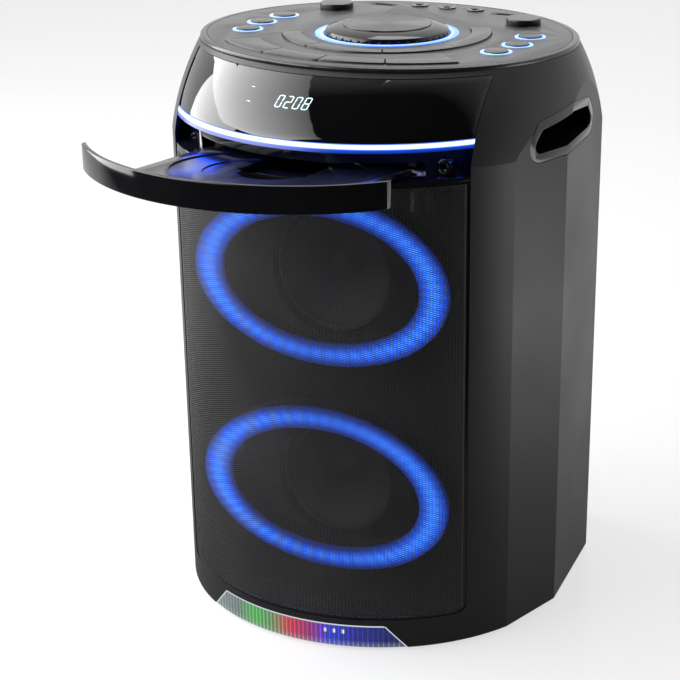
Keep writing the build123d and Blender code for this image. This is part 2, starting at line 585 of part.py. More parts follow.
# ---------------------------------------------------------------- disc mechanism
def tooth_outline(width):
    """Half a tooth each side of Y=0, pointing along +X from its root, 20 degree flanks."""
    slope = tan(radians(20))
    root = width / 2 + DEDENDUM * slope
    tip = width / 2 - ADDENDUM * slope
    return Polyline((-DEDENDUM - 0.3, -root), (-DEDENDUM, -root), (ADDENDUM, -tip),
                    (ADDENDUM, tip), (-DEDENDUM, root), (-DEDENDUM - 0.3, root), close=True)


def tray():
    rear = TRAY_REAR_Y - TRAVEL
    r_in = FASCIA_R - BEZEL_T
    front = rod(0, ARC_Y - TRAVEL, r_in + 1, TRAY_Z0, TRAY_Z1)
    nose = box(-TRAY_X, TRAY_X, -2 * REACH, ARC_Y - TRAVEL, TRAY_Z0, TRAY_Z1) & front
    plate = nose + box(-TRAY_X, TRAY_X, ARC_Y - TRAVEL, rear, TRAY_Z0, TRAY_Z1)
    root_x = RACK_PITCH_X - DEDENDUM
    plate -= box(root_x, TRAY_X + 1, -2 * REACH, REACH, TRAY_Z0 - 1, TRAY_SPLIT_Z)
    plate -= rod(0, OPEN_DISC_Y, DISC_WELL_R, TRAY_Z1 - DISC_WELL_D, TRAY_Z1 + 1)
    plate -= rod(0, OPEN_DISC_Y, SINGLE_WELL_R, TRAY_Z1 - DISC_WELL_D - SINGLE_WELL_D, TRAY_Z1)
    plate -= rod(0, OPEN_DISC_Y, CUTOUT_FRONT, TRAY_Z0 - 1, TRAY_Z1)
    plate -= box(-CUTOUT_X, CUTOUT_X, OPEN_DISC_Y, OPEN_DISC_Y + DISC_WELL_R - 4, TRAY_Z0 - 1, TRAY_Z1)
    count = int((TRAVEL + 6 * PITCH) / PITCH)
    depth = TRAY_SPLIT_Z - TRAY_Z0
    tooth = extrude(make_face(tooth_outline(PITCH * TOOTH_SHARE)), depth)
    for i in range(count):
        y = GEAR_Y + PITCH * (2.5 - i)
        plate += Pos(RACK_PITCH_X, y, TRAY_Z0) * tooth
    plate = leaned(plate) & rod(0, ARC_Y - OPEN_Y, r_in, 0, REACH)
    save("disc_tray", plate)
    bezel = rod(0, ARC_Y, FASCIA_R, BEZEL_Z0, BEZEL_Z1) - rod(0, ARC_Y, r_in, BEZEL_Z0, BEZEL_Z1)
    bezel &= in_slice(BEZEL_X, BEZEL_Z0, BEZEL_Z1)
    save("drawer_bezel", Pos(0, -OPEN_Y, OPEN_Z) * bezel)


def gear():
    body = rod(0, 0, GEAR_PITCH_R - DEDENDUM, GEAR_Z0, GEAR_Z1)
    tooth = extrude(make_face(tooth_outline(PITCH * TOOTH_SHARE)), GEAR_Z1 - GEAR_Z0)
    for i in range(GEAR_TEETH):
        turn = Rot(0, 0, 180 + 360 * i / GEAR_TEETH)
        body += Pos(0, 0, GEAR_Z0) * turn * Pos(GEAR_PITCH_R, 0, 0) * tooth
    body += rod(0, 0, GEAR_HUB_R, FLOOR_TOP + GUIDE_GAP, GEAR_Z0)
    body += rod(0, 0, SHAFT_R, CHASSIS_Z - MOTOR_H / 2, FLOOR_TOP + GUIDE_GAP)
    save("loading_gear", leaned(Pos(GEAR_X, GEAR_Y, 0) * body))


def chassis():
    wall_x = TRAY_X + SIDE_GAP
    inside = rod(0, ARC_Y, RECESS_R - RECESS_WALL - FIT, CHASSIS_Z, CHASSIS_WALL_Z)
    frame = box(-CHASSIS_X, CHASSIS_X, CHASSIS_Y0, CHASSIS_Y1, CHASSIS_Z, FLOOR_TOP)
    gear_half = GEAR_PITCH_R + ADDENDUM + 2
    frame += box(CHASSIS_X, EAR_X, GEAR_Y - gear_half, GEAR_Y + gear_half, CHASSIS_Z, FLOOR_TOP)
    for side in (-1, 1):
        x0, x1 = sorted((side * wall_x, side * CHASSIS_X))
        frame += box(x0, x1, CHASSIS_Y0, CHASSIS_Y1, FLOOR_TOP, CHASSIS_WALL_Z)
        root_x = RACK_PITCH_X - DEDENDUM - GUIDE_GAP
        x0, x1 = sorted((side * (root_x - LEDGE_W), side * wall_x))
        ledge = box(x0, x1, CHASSIS_Y0, CHASSIS_Y1, TRAY_Z0 - GUIDE_GAP - 2, TRAY_Z0 - GUIDE_GAP)
        x0, x1 = sorted((side * (wall_x - 3), side * wall_x))
        keeper = box(x0, x1, CHASSIS_Y0, DISC_Y - BRIDGE_W, TRAY_Z1 + GUIDE_GAP, TRAY_Z1 + GUIDE_GAP + 1.6)
        frame += ledge + keeper
    frame &= inside
    clear_r = GEAR_PITCH_R + ADDENDUM + 1.2
    frame -= rod(GEAR_X, GEAR_Y, clear_r, FLOOR_TOP, TRAY_Z1)
    frame -= rod(GEAR_X, GEAR_Y, SHAFT_R + RUNNING, CHASSIS_Z - 1, FLOOR_TOP + 1)
    frame -= rod(0, DISC_Y, SHAFT_R + RUNNING, CHASSIS_Z - 1, FLOOR_TOP + 1)
    for x in (-RAIL_X, RAIL_X):
        for y in (RAIL_Y0 - RAIL_POST, RAIL_Y1):
            frame += box(x - RAIL_POST / 2, x + RAIL_POST / 2, y, y + RAIL_POST, FLOOR_TOP, RAIL_Z + 2 * RAIL_R)
    for x in (-CHASSIS_X + 2 * POST_R, CHASSIS_X - 2 * POST_R):
        for y in (BAFFLE_Y1 + 2 * POST_R, CHASSIS_Y1 - 2 * POST_R):
            frame += rod(x, y, POST_R, SHELF_Z1, CHASSIS_Z)
    loader = rod(GEAR_X, GEAR_Y, MOTOR_R, CHASSIS_Z - MOTOR_H, CHASSIS_Z)
    loader -= rod(GEAR_X, GEAR_Y, SHAFT_R + RUNNING, CHASSIS_Z - MOTOR_H / 2 - FIT, CHASSIS_Z)
    motor = rod(0, DISC_Y, SPINDLE_MOTOR_R, CHASSIS_Z - SPINDLE_MOTOR_H, CHASSIS_Z)
    motor -= rod(0, DISC_Y, SHAFT_R + RUNNING, CHASSIS_Z - SPINDLE_MOTOR_H / 2 - FIT, CHASSIS_Z)
    save("drive_motors", leaned(group([loader, motor])))
    table = rod(0, DISC_Y, TURNTABLE_R, TURNTABLE_Z0, TURNTABLE_Z1 - 2)
    table += rod(0, DISC_Y, TURNTABLE_R / 2, TURNTABLE_Z1 - 2, TURNTABLE_Z1)
    table += rod(0, DISC_Y, GEAR_HUB_R, FLOOR_TOP + GUIDE_GAP, TURNTABLE_Z0)
    table += rod(0, DISC_Y, SHAFT_R, CHASSIS_Z - SPINDLE_MOTOR_H / 2, FLOOR_TOP + GUIDE_GAP)
    save("turntable", leaned(table))
    rails = [rod_y(x, RAIL_Z, RAIL_R, RAIL_Y0, RAIL_Y1) for x in (-RAIL_X, RAIL_X)]
    sled = box(-SLED_X, SLED_X, SLED_Y0, SLED_Y1, SLED_Z0, SLED_Z1)
    for x in (-RAIL_X, RAIL_X):
        sled -= rod_y(x, RAIL_Z, RAIL_R + RUNNING, SLED_Y0 - 1, SLED_Y1 + 1)
    lens = rod(0, (SLED_Y0 + SLED_Y1) / 2, LENS_R, SLED_Z1, SLED_Z1 + LENS_H)
    save("pickup_sled", leaned(group([sled, lens])))
    z0 = CHASSIS_WALL_Z
    bridge = box(-CHASSIS_X, CHASSIS_X, DISC_Y - BRIDGE_W / 2, DISC_Y + BRIDGE_W / 2, z0, z0 + BRIDGE_T)
    bridge -= rod(0, DISC_Y, PUCK_NECK_R + GUIDE_GAP, z0 - 1, z0 + BRIDGE_T + 1)
    save("drive_chassis", leaned(group([frame, bridge, *rails])))
    puck = rod(0, DISC_Y, PUCK_R, z0 - PUCK_DROP, z0 - GUIDE_GAP)
    puck += rod(0, DISC_Y, PUCK_NECK_R, z0 - GUIDE_GAP, z0 + BRIDGE_T + GUIDE_GAP)
    puck += rod(0, DISC_Y, PUCK_CAP_R, z0 + BRIDGE_T + GUIDE_GAP, z0 + BRIDGE_T + GUIDE_GAP + 1.2)
    save("disc_clamp", leaned(puck))


# ---------------------------------------------------------------- control deck
def at_deck(shape):
    return Pos(0, DECK_Y, 0) * shape


def wedge(az0, az1, gap, r_mid):
    """A pie slice between two azimuths, with half the gap taken off each side."""
    trim = degrees(gap / 2 / r_mid)
    turns = [radians(az0 + trim + (az1 - az0 - 2 * trim) * i / 4 - 90) for i in range(5)]
    far = 2 * PANEL_A
    return make_face(Polyline((0, 0), *[(far * cos(t), far * sin(t)) for t in turns], close=True))


def ring_sector(r0, r1, az0, az1, gap):
    face = (Circle(r1) - Circle(r0)) & wedge(az0, az1, gap, (r0 + r1) / 2)
    return Pos(0, DECK_Y) * face


def row_sector(grow, az0, az1, gap):
    face = Pos(0, ROW_Y) * Circle(ROW_R1 + grow) - Pos(0, DECK_Y) * Circle(ROW_R0 - grow)
    return face & (Pos(0, DECK_Y) * wedge(az0, az1, gap, ROW_R0))


def key(cap_face, flange_face):
    top = PANEL_TOP + PROUD
    cap = Pos(0, 0, KEY_Z0) * extrude(cap_face, top - KEY_Z0)
    return cap + Pos(0, 0, KEY_Z0) * extrude(flange_face, KEY_FLANGE_T)


def segment_keys():
    keys = {}
    names = ("front_left", "front_mid", "front_right", "side_right")
    for name, az0, az1 in zip(names, SEGMENT_AZ[:-1], SEGMENT_AZ[1:]):
        cap = ring_sector(SEGMENT_R0, SEGMENT_R1, az0, az1, SEGMENT_GAP)
        flange = ring_sector(SEGMENT_R0 - KEY_FLANGE, SEGMENT_R1 + KEY_FLANGE, az0, az1, SEGMENT_GAP)
        keys[f"ring_key_{name}"] = (key(cap, flange), (az0 + az1) / 2, (SEGMENT_R0 + SEGMENT_R1) / 2)
    return keys


def row_keys():
    keys = {}
    for i, (az0, az1) in enumerate(zip(ROW_AZ[:-1], ROW_AZ[1:])):
        cap = row_sector(0, az0, az1, SEGMENT_GAP)
        flange = row_sector(KEY_FLANGE, az0, az1, SEGMENT_GAP)
        keys[f"row_key_{i + 1}"] = (key(cap, flange), (az0 + az1) / 2, ROW_R0 + 8)
    return keys


def deck():
    keys = {**segment_keys(), **row_keys()}
    rim = oval(RIM_A - FIT, RIM_B - FIT, PANEL_Z0, PANEL_Z0 + RIM_H)
    rim -= oval(PANEL_A, PANEL_B, PANEL_Z0, PANEL_Z0 + RIM_H)
    top_edge = rim.edges().group_by(Axis.Z)[-1].sort_by(SortBy.LENGTH)[-1]
    rim = fillet(top_edge, RIM_H / 2)
    skirt = oval(RIM_A - WALL - FIT, RIM_B - WALL - FIT, PANEL_Z0 - RIM_SKIRT, PANEL_Z0)
    skirt -= oval(PANEL_A - RIM_SKIRT_IN, PANEL_B - RIM_SKIRT_IN, PANEL_Z0 - RIM_SKIRT, PANEL_Z0)
    save("deck_rim", rim + skirt)

    panel = oval(PANEL_A - PANEL_GAP, PANEL_B - PANEL_GAP, PANEL_Z0, PANEL_TOP)
    light_z = PANEL_TOP - LIGHT_D
    panel -= at_deck(rod(0, 0, LIGHT_R1 + PANEL_GAP, light_z, PANEL_TOP)
                     - rod(0, 0, LIGHT_R0 - PANEL_GAP, light_z, PANEL_TOP))
    panel -= at_deck(rod(0, 0, SHAFT_KNOB_R + DECK_GAP, PANEL_Z0, PANEL_TOP))
    face = ring_sector(SEGMENT_R0 - DECK_GAP, SEGMENT_R1 + DECK_GAP, SEGMENT_AZ[0], SEGMENT_AZ[-1], -SEGMENT_GAP)
    panel -= Pos(0, 0, PANEL_Z0) * extrude(face, PANEL_T)
    panel -= Pos(0, 0, PANEL_Z0) * extrude(row_sector(DECK_GAP, ROW_AZ[0], ROW_AZ[-1], -SEGMENT_GAP), PANEL_T)
    lights = []
    for name, (x, y) in ROUND_KEYS.items():
        panel -= rod(x, y, ROUND_KEY_R + DECK_GAP, PANEL_Z0, PANEL_TOP)
        light_r = ROUND_KEY_R + DECK_GAP + ROUND_LIGHT_W
        panel -= rod(x, y, light_r + PANEL_GAP, light_z, PANEL_TOP)
        lights.append(rod(x, y, light_r, light_z, PANEL_TOP + FIT)
                      - rod(x, y, ROUND_KEY_R + DECK_GAP, light_z, PANEL_TOP + FIT))
        cap = Pos(x, y) * Circle(ROUND_KEY_R)
        save(f"round_key_{name}", key(cap, Pos(x, y) * Circle(ROUND_KEY_R + KEY_FLANGE)))
    for x in (-DIAL_X, DIAL_X):
        panel -= rod(x, DIAL_Y, SHAFT_KNOB_R + DECK_GAP, PANEL_Z0, PANEL_TOP)
    for x in JACK_XS:
        panel -= rod(x, JACK_Y, JACK_R + DECK_GAP, PANEL_Z0, PANEL_TOP)
    for x in (-USB_X, USB_X):
        panel -= box(x - USB_W / 2 - FIT, x + USB_W / 2 + FIT, USB_Y - USB_D / 2 - FIT,
                     USB_Y + USB_D / 2 + FIT, PANEL_Z0, PANEL_TOP)
    for x, y in BOSSES:
        panel += rod(x, y, BOSS_R, BOARD_TOP, PANEL_Z0)
    save("control_deck", panel)
    for name, (shape, _, _) in keys.items():
        save(name, shape)

    ring = rod(0, 0, LIGHT_R1, light_z, PANEL_TOP + FIT) - rod(0, 0, LIGHT_R0, light_z, PANEL_TOP + FIT)
    save("deck_lights", group([at_deck(ring), *lights]))
    jog()
    under_deck([(az, r) for _, az, r in keys.values()])


def jog():
    z0 = PANEL_TOP + JOG_GAP
    seat = z0 + JOG_H - JOG_DISC_T / 2
    profile = Polyline((0, z0 + 1), (JOG_R - 5, z0 + 1), (JOG_R - 4, z0), (JOG_R, z0), (JOG_R - 1, z0 + JOG_SKIRT_H),
                       (JOG_BEVEL_R, z0 + JOG_H), (JOG_DISC_R + FIT, z0 + JOG_H), (JOG_DISC_R + FIT, seat),
                       (0, seat), close=True)
    knob = revolve(Plane.XZ * make_face(profile), Axis.Z)
    for i in range(JOG_NOTCHES):
        notch = Pos(JOG_R, 0, z0 + JOG_SKIRT_H / 2) * Box(1.2, 1.6, JOG_SKIRT_H + 1)
        knob -= Rot(0, 0, 360 * i / JOG_NOTCHES) * notch
    knob += rod(0, 0, SHAFT_KNOB_R, BOARD_TOP + 1, z0 + 1)
    save("jog_knob", at_deck(knob))
    disc = rod(0, 0, JOG_DISC_R, seat, seat + JOG_DISC_T)
    disc = fillet(disc.edges().group_by(Axis.Z)[-1], JOG_DISC_T / 3)
    save("jog_disc", at_deck(disc))


def bored_pot(x, y):
    body = Pos(x, y, BOARD_TOP + POT_H / 2) * Box(POT, POT, POT_H)
    return body - rod(x, y, SHAFT_KNOB_R + RUNNING, BOARD_TOP + 1 - FIT, BOARD_TOP + POT_H)


def under_deck(key_places):
    for name, x in (("left", -DIAL_X), ("right", DIAL_X)):
        dial = rod(x, DIAL_Y, DIAL_R, PANEL_TOP + JOG_GAP, PANEL_TOP + JOG_GAP + DIAL_H)
        dial = fillet(dial.edges().group_by(Axis.Z)[-1], 1.0)
        dial += rod(x, DIAL_Y, SHAFT_KNOB_R, BOARD_TOP + 1, PANEL_TOP + JOG_GAP)
        save(f"dial_{name}", dial)
    board = oval(BOARD_A, BOARD_B, BOARD_TOP - BOARD_T, BOARD_TOP)
    pots = [bored_pot(0, DECK_Y), bored_pot(-DIAL_X, DIAL_Y), bored_pot(DIAL_X, DIAL_Y)]
    switches = []
    places = [(r * sin(radians(az)), DECK_Y - r * cos(radians(az))) for az, r in key_places]
    for x, y in places + list(ROUND_KEYS.values()):
        top = KEY_Z0 - PRESS - FIT
        switches.append(Pos(x, y, (BOARD_TOP + top) / 2) * Box(SWITCH, SWITCH, top - BOARD_TOP))
    save("key_board", group([board, *pots, *switches]))
    sockets = []
    nuts = []
    nut_top = PANEL_TOP + JACK_NUT_T
    for x in JACK_XS:
        sockets.append(rod(x, JACK_Y, JACK_R, BOARD_TOP, nut_top - 0.3)
                       - rod(x, JACK_Y, JACK_BORE_R, BOARD_TOP + 1, nut_top))
        nuts.append(rod(x, JACK_Y, JACK_NUT_R, PANEL_TOP, nut_top)
                    - rod(x, JACK_Y, JACK_R + RUNNING, PANEL_TOP, nut_top))
    save("jack_sockets", group(sockets + nuts))
    ports = []
    for x in (-USB_X, USB_X):
        port = box(x - USB_W / 2, x + USB_W / 2, USB_Y - USB_D / 2, USB_Y + USB_D / 2, BOARD_TOP, PANEL_TOP)
        ports.append(port - box(x - USB_MOUTH_W / 2, x + USB_MOUTH_W / 2, USB_Y - USB_MOUTH_D / 2,
                                USB_Y + USB_MOUTH_D / 2, PANEL_TOP - USB_DEEP, PANEL_TOP))
    save("usb_ports", group(ports))


shells()
handles()
base()
grille()
fascia()
lit_front()
speaker()
electronics()
tray()
gear()
chassis()
deck()
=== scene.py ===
"""Looks of a disc karaoke speaker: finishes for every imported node, a perforated grille, a ribbed foot light,
a lit display and softened keys, with a plain pale studio round it. Lengths are in metres.
"""

import json
from contextlib import contextmanager
from math import atan2, cos, hypot, pi, radians, sin, sqrt

import bmesh
import bpy
from mathutils import Matrix, Vector


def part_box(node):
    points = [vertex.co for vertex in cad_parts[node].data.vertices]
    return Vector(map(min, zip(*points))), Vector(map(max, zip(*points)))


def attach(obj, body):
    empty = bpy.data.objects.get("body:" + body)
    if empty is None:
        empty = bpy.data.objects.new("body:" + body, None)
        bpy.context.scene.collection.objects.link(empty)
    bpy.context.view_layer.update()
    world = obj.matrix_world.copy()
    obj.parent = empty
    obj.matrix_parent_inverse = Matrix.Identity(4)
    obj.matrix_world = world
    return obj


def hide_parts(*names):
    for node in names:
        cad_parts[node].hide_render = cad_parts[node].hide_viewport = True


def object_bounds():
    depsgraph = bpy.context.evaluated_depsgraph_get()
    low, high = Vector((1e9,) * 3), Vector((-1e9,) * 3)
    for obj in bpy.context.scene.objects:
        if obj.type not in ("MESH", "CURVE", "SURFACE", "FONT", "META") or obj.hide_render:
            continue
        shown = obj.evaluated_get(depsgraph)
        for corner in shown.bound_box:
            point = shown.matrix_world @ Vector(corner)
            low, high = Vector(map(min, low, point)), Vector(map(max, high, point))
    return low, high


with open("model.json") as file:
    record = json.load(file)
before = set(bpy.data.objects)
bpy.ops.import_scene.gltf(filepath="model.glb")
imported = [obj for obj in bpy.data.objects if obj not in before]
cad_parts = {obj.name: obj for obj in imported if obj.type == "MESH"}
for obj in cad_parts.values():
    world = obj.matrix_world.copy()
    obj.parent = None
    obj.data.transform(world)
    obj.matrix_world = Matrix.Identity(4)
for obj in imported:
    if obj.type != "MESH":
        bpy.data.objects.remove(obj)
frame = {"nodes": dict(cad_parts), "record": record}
CAD_LOW, CAD_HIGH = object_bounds()

bl_info = {
    "name": "Karaoke Speaker Looks",
    "version": (1, 0, 0),
    "blender": (4, 5, 0),
    "location": "3D View > Sidebar > Speaker",
    "description": "Finishes and fine pieces of a karaoke speaker with a disc drawer",
    "category": "Object",
}

MM = 0.001
NODES = frame["nodes"]
BODY_OF = {node: body for body, nodes in frame["record"]["behaviour"]["bodies"].items() for node in nodes}
SLOT_OF = {part["node"]: part["material_slot"] for part in frame["record"]["subparts"]}
GRILLE_LOW, GRILLE_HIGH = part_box("speaker_grille")
FACE_R = 141.0 * MM                          # radius of the round front
ARC_Y = GRILLE_LOW.y + FACE_R                # its centre
DECK = (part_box("jog_disc")[0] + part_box("jog_disc")[1]) / 2
WOOFER_Z = (96.2 * MM, 247.2 * MM)
RING_A, RING_B = 83.6 * MM, 51.4 * MM        # middle line of the oval light rings
FOOT_RUN = 13.5 * MM                         # how far the foot light's ends lean in over its height
FOOT_LAMPS = 0.69                            # middle of its three white lamps, as a share of its width
LAMP_TURNS = 157.0                           # angle per width between those lamps, in radians


def length(name, description, default):
    return bpy.props.FloatProperty(name=name, description=description, default=default,
                                   subtype="DISTANCE", unit="LENGTH")


def colour(name, description, default):
    return bpy.props.FloatVectorProperty(name=name, description=description, default=default,
                                         subtype="COLOR", size=3, min=0.0, max=1.0)


class SpeakerLooks(bpy.types.PropertyGroup):
    """Sizes and colours of the speaker's looks"""

    shell: colour("Shell", "Satin plastic of the cabinet", (0.012, 0.012, 0.013))
    gloss: colour("Gloss", "Polished plastic of the window and the drawer", (0.004, 0.004, 0.005))
    deck: colour("Deck", "Brushed surface of the control deck", (0.105, 0.105, 0.108))
    glow: colour("Glow", "Main colour of the lights", (0.012, 0.085, 0.95))
    glow_strength: bpy.props.FloatProperty(name="Glow strength", description="Brightness of the lights",
                                           default=1.6, min=0.0)
    hole_width: length("Hole width", "Spacing of the grille's columns", 2.32 * MM)
    hole_height: length("Hole height", "Spacing of the holes in a column", 1.44 * MM)
    web: length("Web", "Metal left between two holes", 0.42 * MM)
    edge: length("Edge", "Rounding of the keys' edges", 0.35 * MM)
    rib_step: length("Rib step", "Spacing of the foot light's ribs", 3.2 * MM)
    digits: bpy.props.StringProperty(name="Digits", description="What the display shows", default="0208")


# ---------------------------------------------------------------- modelling helpers
def alone(obj):
    bpy.ops.object.select_all(action="DESELECT")
    obj.select_set(True)
    bpy.context.view_layer.objects.active = obj


@contextmanager
def editing(obj, mode="FACE"):
    alone(obj)
    bpy.ops.object.mode_set(mode="EDIT")
    bpy.ops.mesh.select_mode(type=mode)
    bpy.ops.mesh.select_all(action="DESELECT")
    yield
    bpy.ops.object.mode_set(mode="OBJECT")


def choose(obj, kind, test):
    """Selects the verts, edges or faces that pass a test, and nothing else."""
    bpy.ops.mesh.select_all(action="DESELECT")
    mesh = bmesh.from_edit_mesh(obj.data)
    for item in getattr(mesh, kind):
        if test(item):
            item.select_set(True)
    bmesh.update_edit_mesh(obj.data)


def applied(obj, kind, **settings):
    """Adds a modifier to a piece and applies it."""
    alone(obj)
    modifier = obj.modifiers.new(kind.title(), kind)
    for key, value in settings.items():
        setattr(modifier, key, value)
    bpy.ops.object.modifier_apply(modifier=modifier.name)


def settled(obj):
    """Puts a piece's place into its mesh."""
    alone(obj)
    bpy.ops.object.transform_apply(location=True, rotation=True, scale=True)
    return obj


def joined(pieces, name):
    bpy.ops.object.select_all(action="DESELECT")
    for piece in pieces:
        piece.select_set(True)
    bpy.context.view_layer.objects.active = pieces[0]
    bpy.ops.object.join()
    pieces[0].name = name
    return pieces[0]


def outward(obj):
    with editing(obj):
        bpy.ops.mesh.select_all(action="SELECT")
        bpy.ops.mesh.remove_doubles(threshold=1e-6)
        bpy.ops.mesh.normals_make_consistent(inside=False)


def smooth(obj, angle=35.0):
    alone(obj)
    bpy.ops.object.shade_smooth_by_angle(angle=radians(angle))


def dressed(obj, name, material, body, slot, *replaced):
    """Gives a finished piece its name, material and body, and hides the nodes that it stands for; the slot is not
    used.
    """
    obj.name = name
    obj.data.name = name
    obj.data.materials.clear()
    obj.data.materials.append(material)
    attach(obj, body)
    if replaced:
        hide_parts(*replaced)
    return obj


def painted(node, material):
    """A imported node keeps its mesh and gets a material."""
    mesh = NODES[node].data
    mesh.materials.clear()
    mesh.materials.append(material)


def softened(node, material, width, angle=40.0, segments=2):
    """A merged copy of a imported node, with its edges rounded, that stands for it."""
    alone(NODES[node])
    bpy.ops.object.duplicate()
    copy = bpy.context.view_layer.objects.active
    for key in list(copy.keys()):
        del copy[key]
    copy.parent = None
    with editing(copy, "EDGE"):
        bpy.ops.mesh.select_all(action="SELECT")
        bpy.ops.mesh.customdata_custom_splitnormals_clear()
        bpy.ops.mesh.remove_doubles(threshold=2e-6)
        bpy.ops.mesh.dissolve_limited(angle_limit=radians(1.0))
    applied(copy, "BEVEL", width=width, segments=segments, limit_method="ANGLE", angle_limit=radians(angle),
            harden_normals=False)
    smooth(copy, 32.0)
    return dressed(copy, node + "_soft", material, BODY_OF[node], SLOT_OF[node], node)


def on_front(x, z, radius):
    """A place on a round wall about the front's centre."""
    return Vector((x, ARC_Y - sqrt(radius ** 2 - x ** 2), z))


# ---------------------------------------------------------------- materials
class Finish:
    """A node material that reads Object coordinates."""

    def __init__(self, name, colour, roughness, metallic=0.0, **sockets):
        self.material = bpy.data.materials.new(name)
        self.material.use_nodes = True
        self.tree = self.material.node_tree
        self.shader = self.tree.nodes["Principled BSDF"]
        self.put("Base Color", (*colour, 1.0))
        self.put("Roughness", roughness)
        self.put("Metallic", metallic)
        for key, value in sockets.items():
            self.put(key.replace("_", " ").title().replace("Ior", "IOR"), value)
        self.place = self.node("ShaderNodeTexCoord").outputs["Object"]

    def put(self, socket, value):
        if isinstance(value, bpy.types.NodeSocket):
            self.tree.links.new(value, self.shader.inputs[socket])
        else:
            self.shader.inputs[socket].default_value = value

    def node(self, kind, inputs=(), **settings):
        made = self.tree.nodes.new(kind)
        for key, value in settings.items():
            setattr(made, key, value)
        for key, value in dict(inputs).items():
            if isinstance(value, bpy.types.NodeSocket):
                self.tree.links.new(value, made.inputs[key])
            else:
                made.inputs[key].default_value = value
        return made

    def math(self, operation, a, b=0.0, clamp=False):
        return self.node("ShaderNodeMath", {0: a, 1: b}, operation=operation, use_clamp=clamp).outputs[0]

    def centred(self, centre, stretch=(1.0, 1.0, 1.0)):
        """Coordinates about a point, stretched along the axes."""
        moved = self.node("ShaderNodeVectorMath", {0: self.place, 1: tuple(centre)}, operation="SUBTRACT")
        return self.node("ShaderNodeVectorMath", {0: moved.outputs[0], 1: stretch}, operation="MULTIPLY").outputs[0]

    def axes(self, vector=None):
        return self.node("ShaderNodeSeparateXYZ", {0: vector or self.place}).outputs

    def noise(self, scale, detail=3.0, vector=None, stretch=(1.0, 1.0, 1.0)):
        vector = vector or self.centred((0, 0, 0), stretch)
        return self.node("ShaderNodeTexNoise", {"Vector": vector, "Scale": scale, "Detail": detail}).outputs["Fac"]

    def between(self, value, low, high, to_low=0.0, to_high=1.0):
        return self.node("ShaderNodeMapRange", {0: value, 1: low, 2: high, 3: to_low, 4: to_high}).outputs[0]

    def ramp(self, value, *stops):
        """Colours along a value; stops are (place, colour)."""
        made = self.node("ShaderNodeValToRGB", {0: value})
        band = made.color_ramp.elements
        while len(band) < len(stops):
            band.new(0.5)
        for element, (place, tint) in zip(band, stops):
            element.position = place
            element.color = (*tint, 1.0)
        return made.outputs[0]

    def mixed(self, value, low, high, blend="MIX"):
        made = self.node("ShaderNodeMix", {0: value, 6: low, 7: high}, data_type="RGBA", blend_type=blend)
        return made.outputs[2]

    def bump(self, height, strength, depth):
        made = self.node("ShaderNodeBump", {"Height": height, "Strength": strength, "Distance": depth})
        self.put("Normal", made.outputs[0])

    def glow(self, tint, strength):
        self.put("Emission Color", tint)
        self.put("Emission Strength", strength)


def tinted(base, share):
    return tuple(min(1.0, part * share) for part in base)


def grained(name, base, rough, grain=1500.0, depth=0.00003, patch=14.0, spread=0.05, **more):
    """Moulded plastic: faint patches of shine, and a fine grain."""
    made = Finish(name, base, rough, **more)
    cloud = made.noise(patch, 4.0)
    made.put("Base Color", made.ramp(cloud, (0.3, tinted(base, 0.82)), (0.7, tinted(base, 1.25))))
    made.put("Roughness", made.between(cloud, 0.3, 0.7, rough - spread, rough + spread))
    made.bump(made.noise(grain, 2.0), 0.35, depth)
    return made


def brushed(name, base, rough, metallic=0.75):
    """Brushed metal film: fine streaks along X under slow clouds."""
    made = Finish(name, base, rough, metallic)
    streak = made.noise(1.0, 5.0, stretch=(30.0, 2600.0, 2600.0))
    cloud = made.noise(22.0, 3.0, stretch=(0.5, 1.0, 1.0))
    tone = made.math("MULTIPLY", streak, made.between(cloud, 0.2, 0.8, 0.8, 1.2))
    made.put("Base Color", made.ramp(tone, (0.32, tinted(base, 0.62)), (0.68, tinted(base, 1.4))))
    made.put("Roughness", made.between(streak, 0.3, 0.7, rough - 0.06, rough + 0.08))
    made.bump(streak, 0.22, 0.00002)
    return made


def capped(name, base, rough, side):
    """Brushed caps over black sides."""
    made = brushed(name, base, rough)
    film = made.shader.inputs["Base Color"].links[0].from_socket
    normal = made.node("ShaderNodeNewGeometry").outputs["True Normal"]
    top = made.between(made.axes(normal)[2], 0.55, 0.8)
    made.put("Base Color", made.mixed(top, (*side, 1.0), film))
    made.put("Metallic", made.math("MULTIPLY", top, 0.75))
    return made


RING_SHARE = 1.15              # the rings' share of the glow strength
PAINTED_RAY_TURN = radians(24.8)        # where the painted highlight rays on the turned disc lie, across the camera's view


def turned_metal_painted_rays(name, base, rough, centre):
    """Metal turned on a lathe: rings about the centre, and painted highlights: soft rays of shine and finer streaks
    painted into its colour.
    """
    made = Finish(name, base, rough, 1.0)
    x, y, _ = made.axes(made.centred(centre))
    reach = made.math("SQRT", made.math("ADD", made.math("MULTIPLY", x, x), made.math("MULTIPLY", y, y)))
    turn = made.math("ARCTAN2", y, x)
    rings = made.node("ShaderNodeTexNoise", {"W": made.math("MULTIPLY", reach, 5200.0), "Scale": 1.0, "Detail": 3.0},
                      noise_dimensions="1D").outputs["Fac"]
    # painted highlight: two bright rays set across the camera's view, lightening the base colour
    painted_ray = made.math("COSINE", made.math("ADD", made.math("MULTIPLY", turn, 2.0), -2 * PAINTED_RAY_TURN))
    # painted highlight: finer streaks round the centre, added to the rays
    fine = made.node("ShaderNodeTexNoise", {"W": made.math("MULTIPLY", turn, 3.0), "Scale": 1.0, "Detail": 2.0},
                     noise_dimensions="1D").outputs["Fac"]
    # shine is painted highlight: the rays plus the streaks, which lighten the base colour below
    shine = made.math("ADD", made.between(painted_ray, -1.0, 1.0, 0.0, 0.75), made.between(fine, 0.3, 0.7, 0.0, 0.25))
    made.put("Base Color", made.ramp(shine, (0.1, tinted(base, 0.45)), (0.6, base), (0.95, tinted(base, 2.4))))
    made.put("Roughness", made.between(rings, 0.3, 0.7, rough - 0.05, rough + 0.1))
    made.bump(rings, 0.3, 0.00002)
    return made


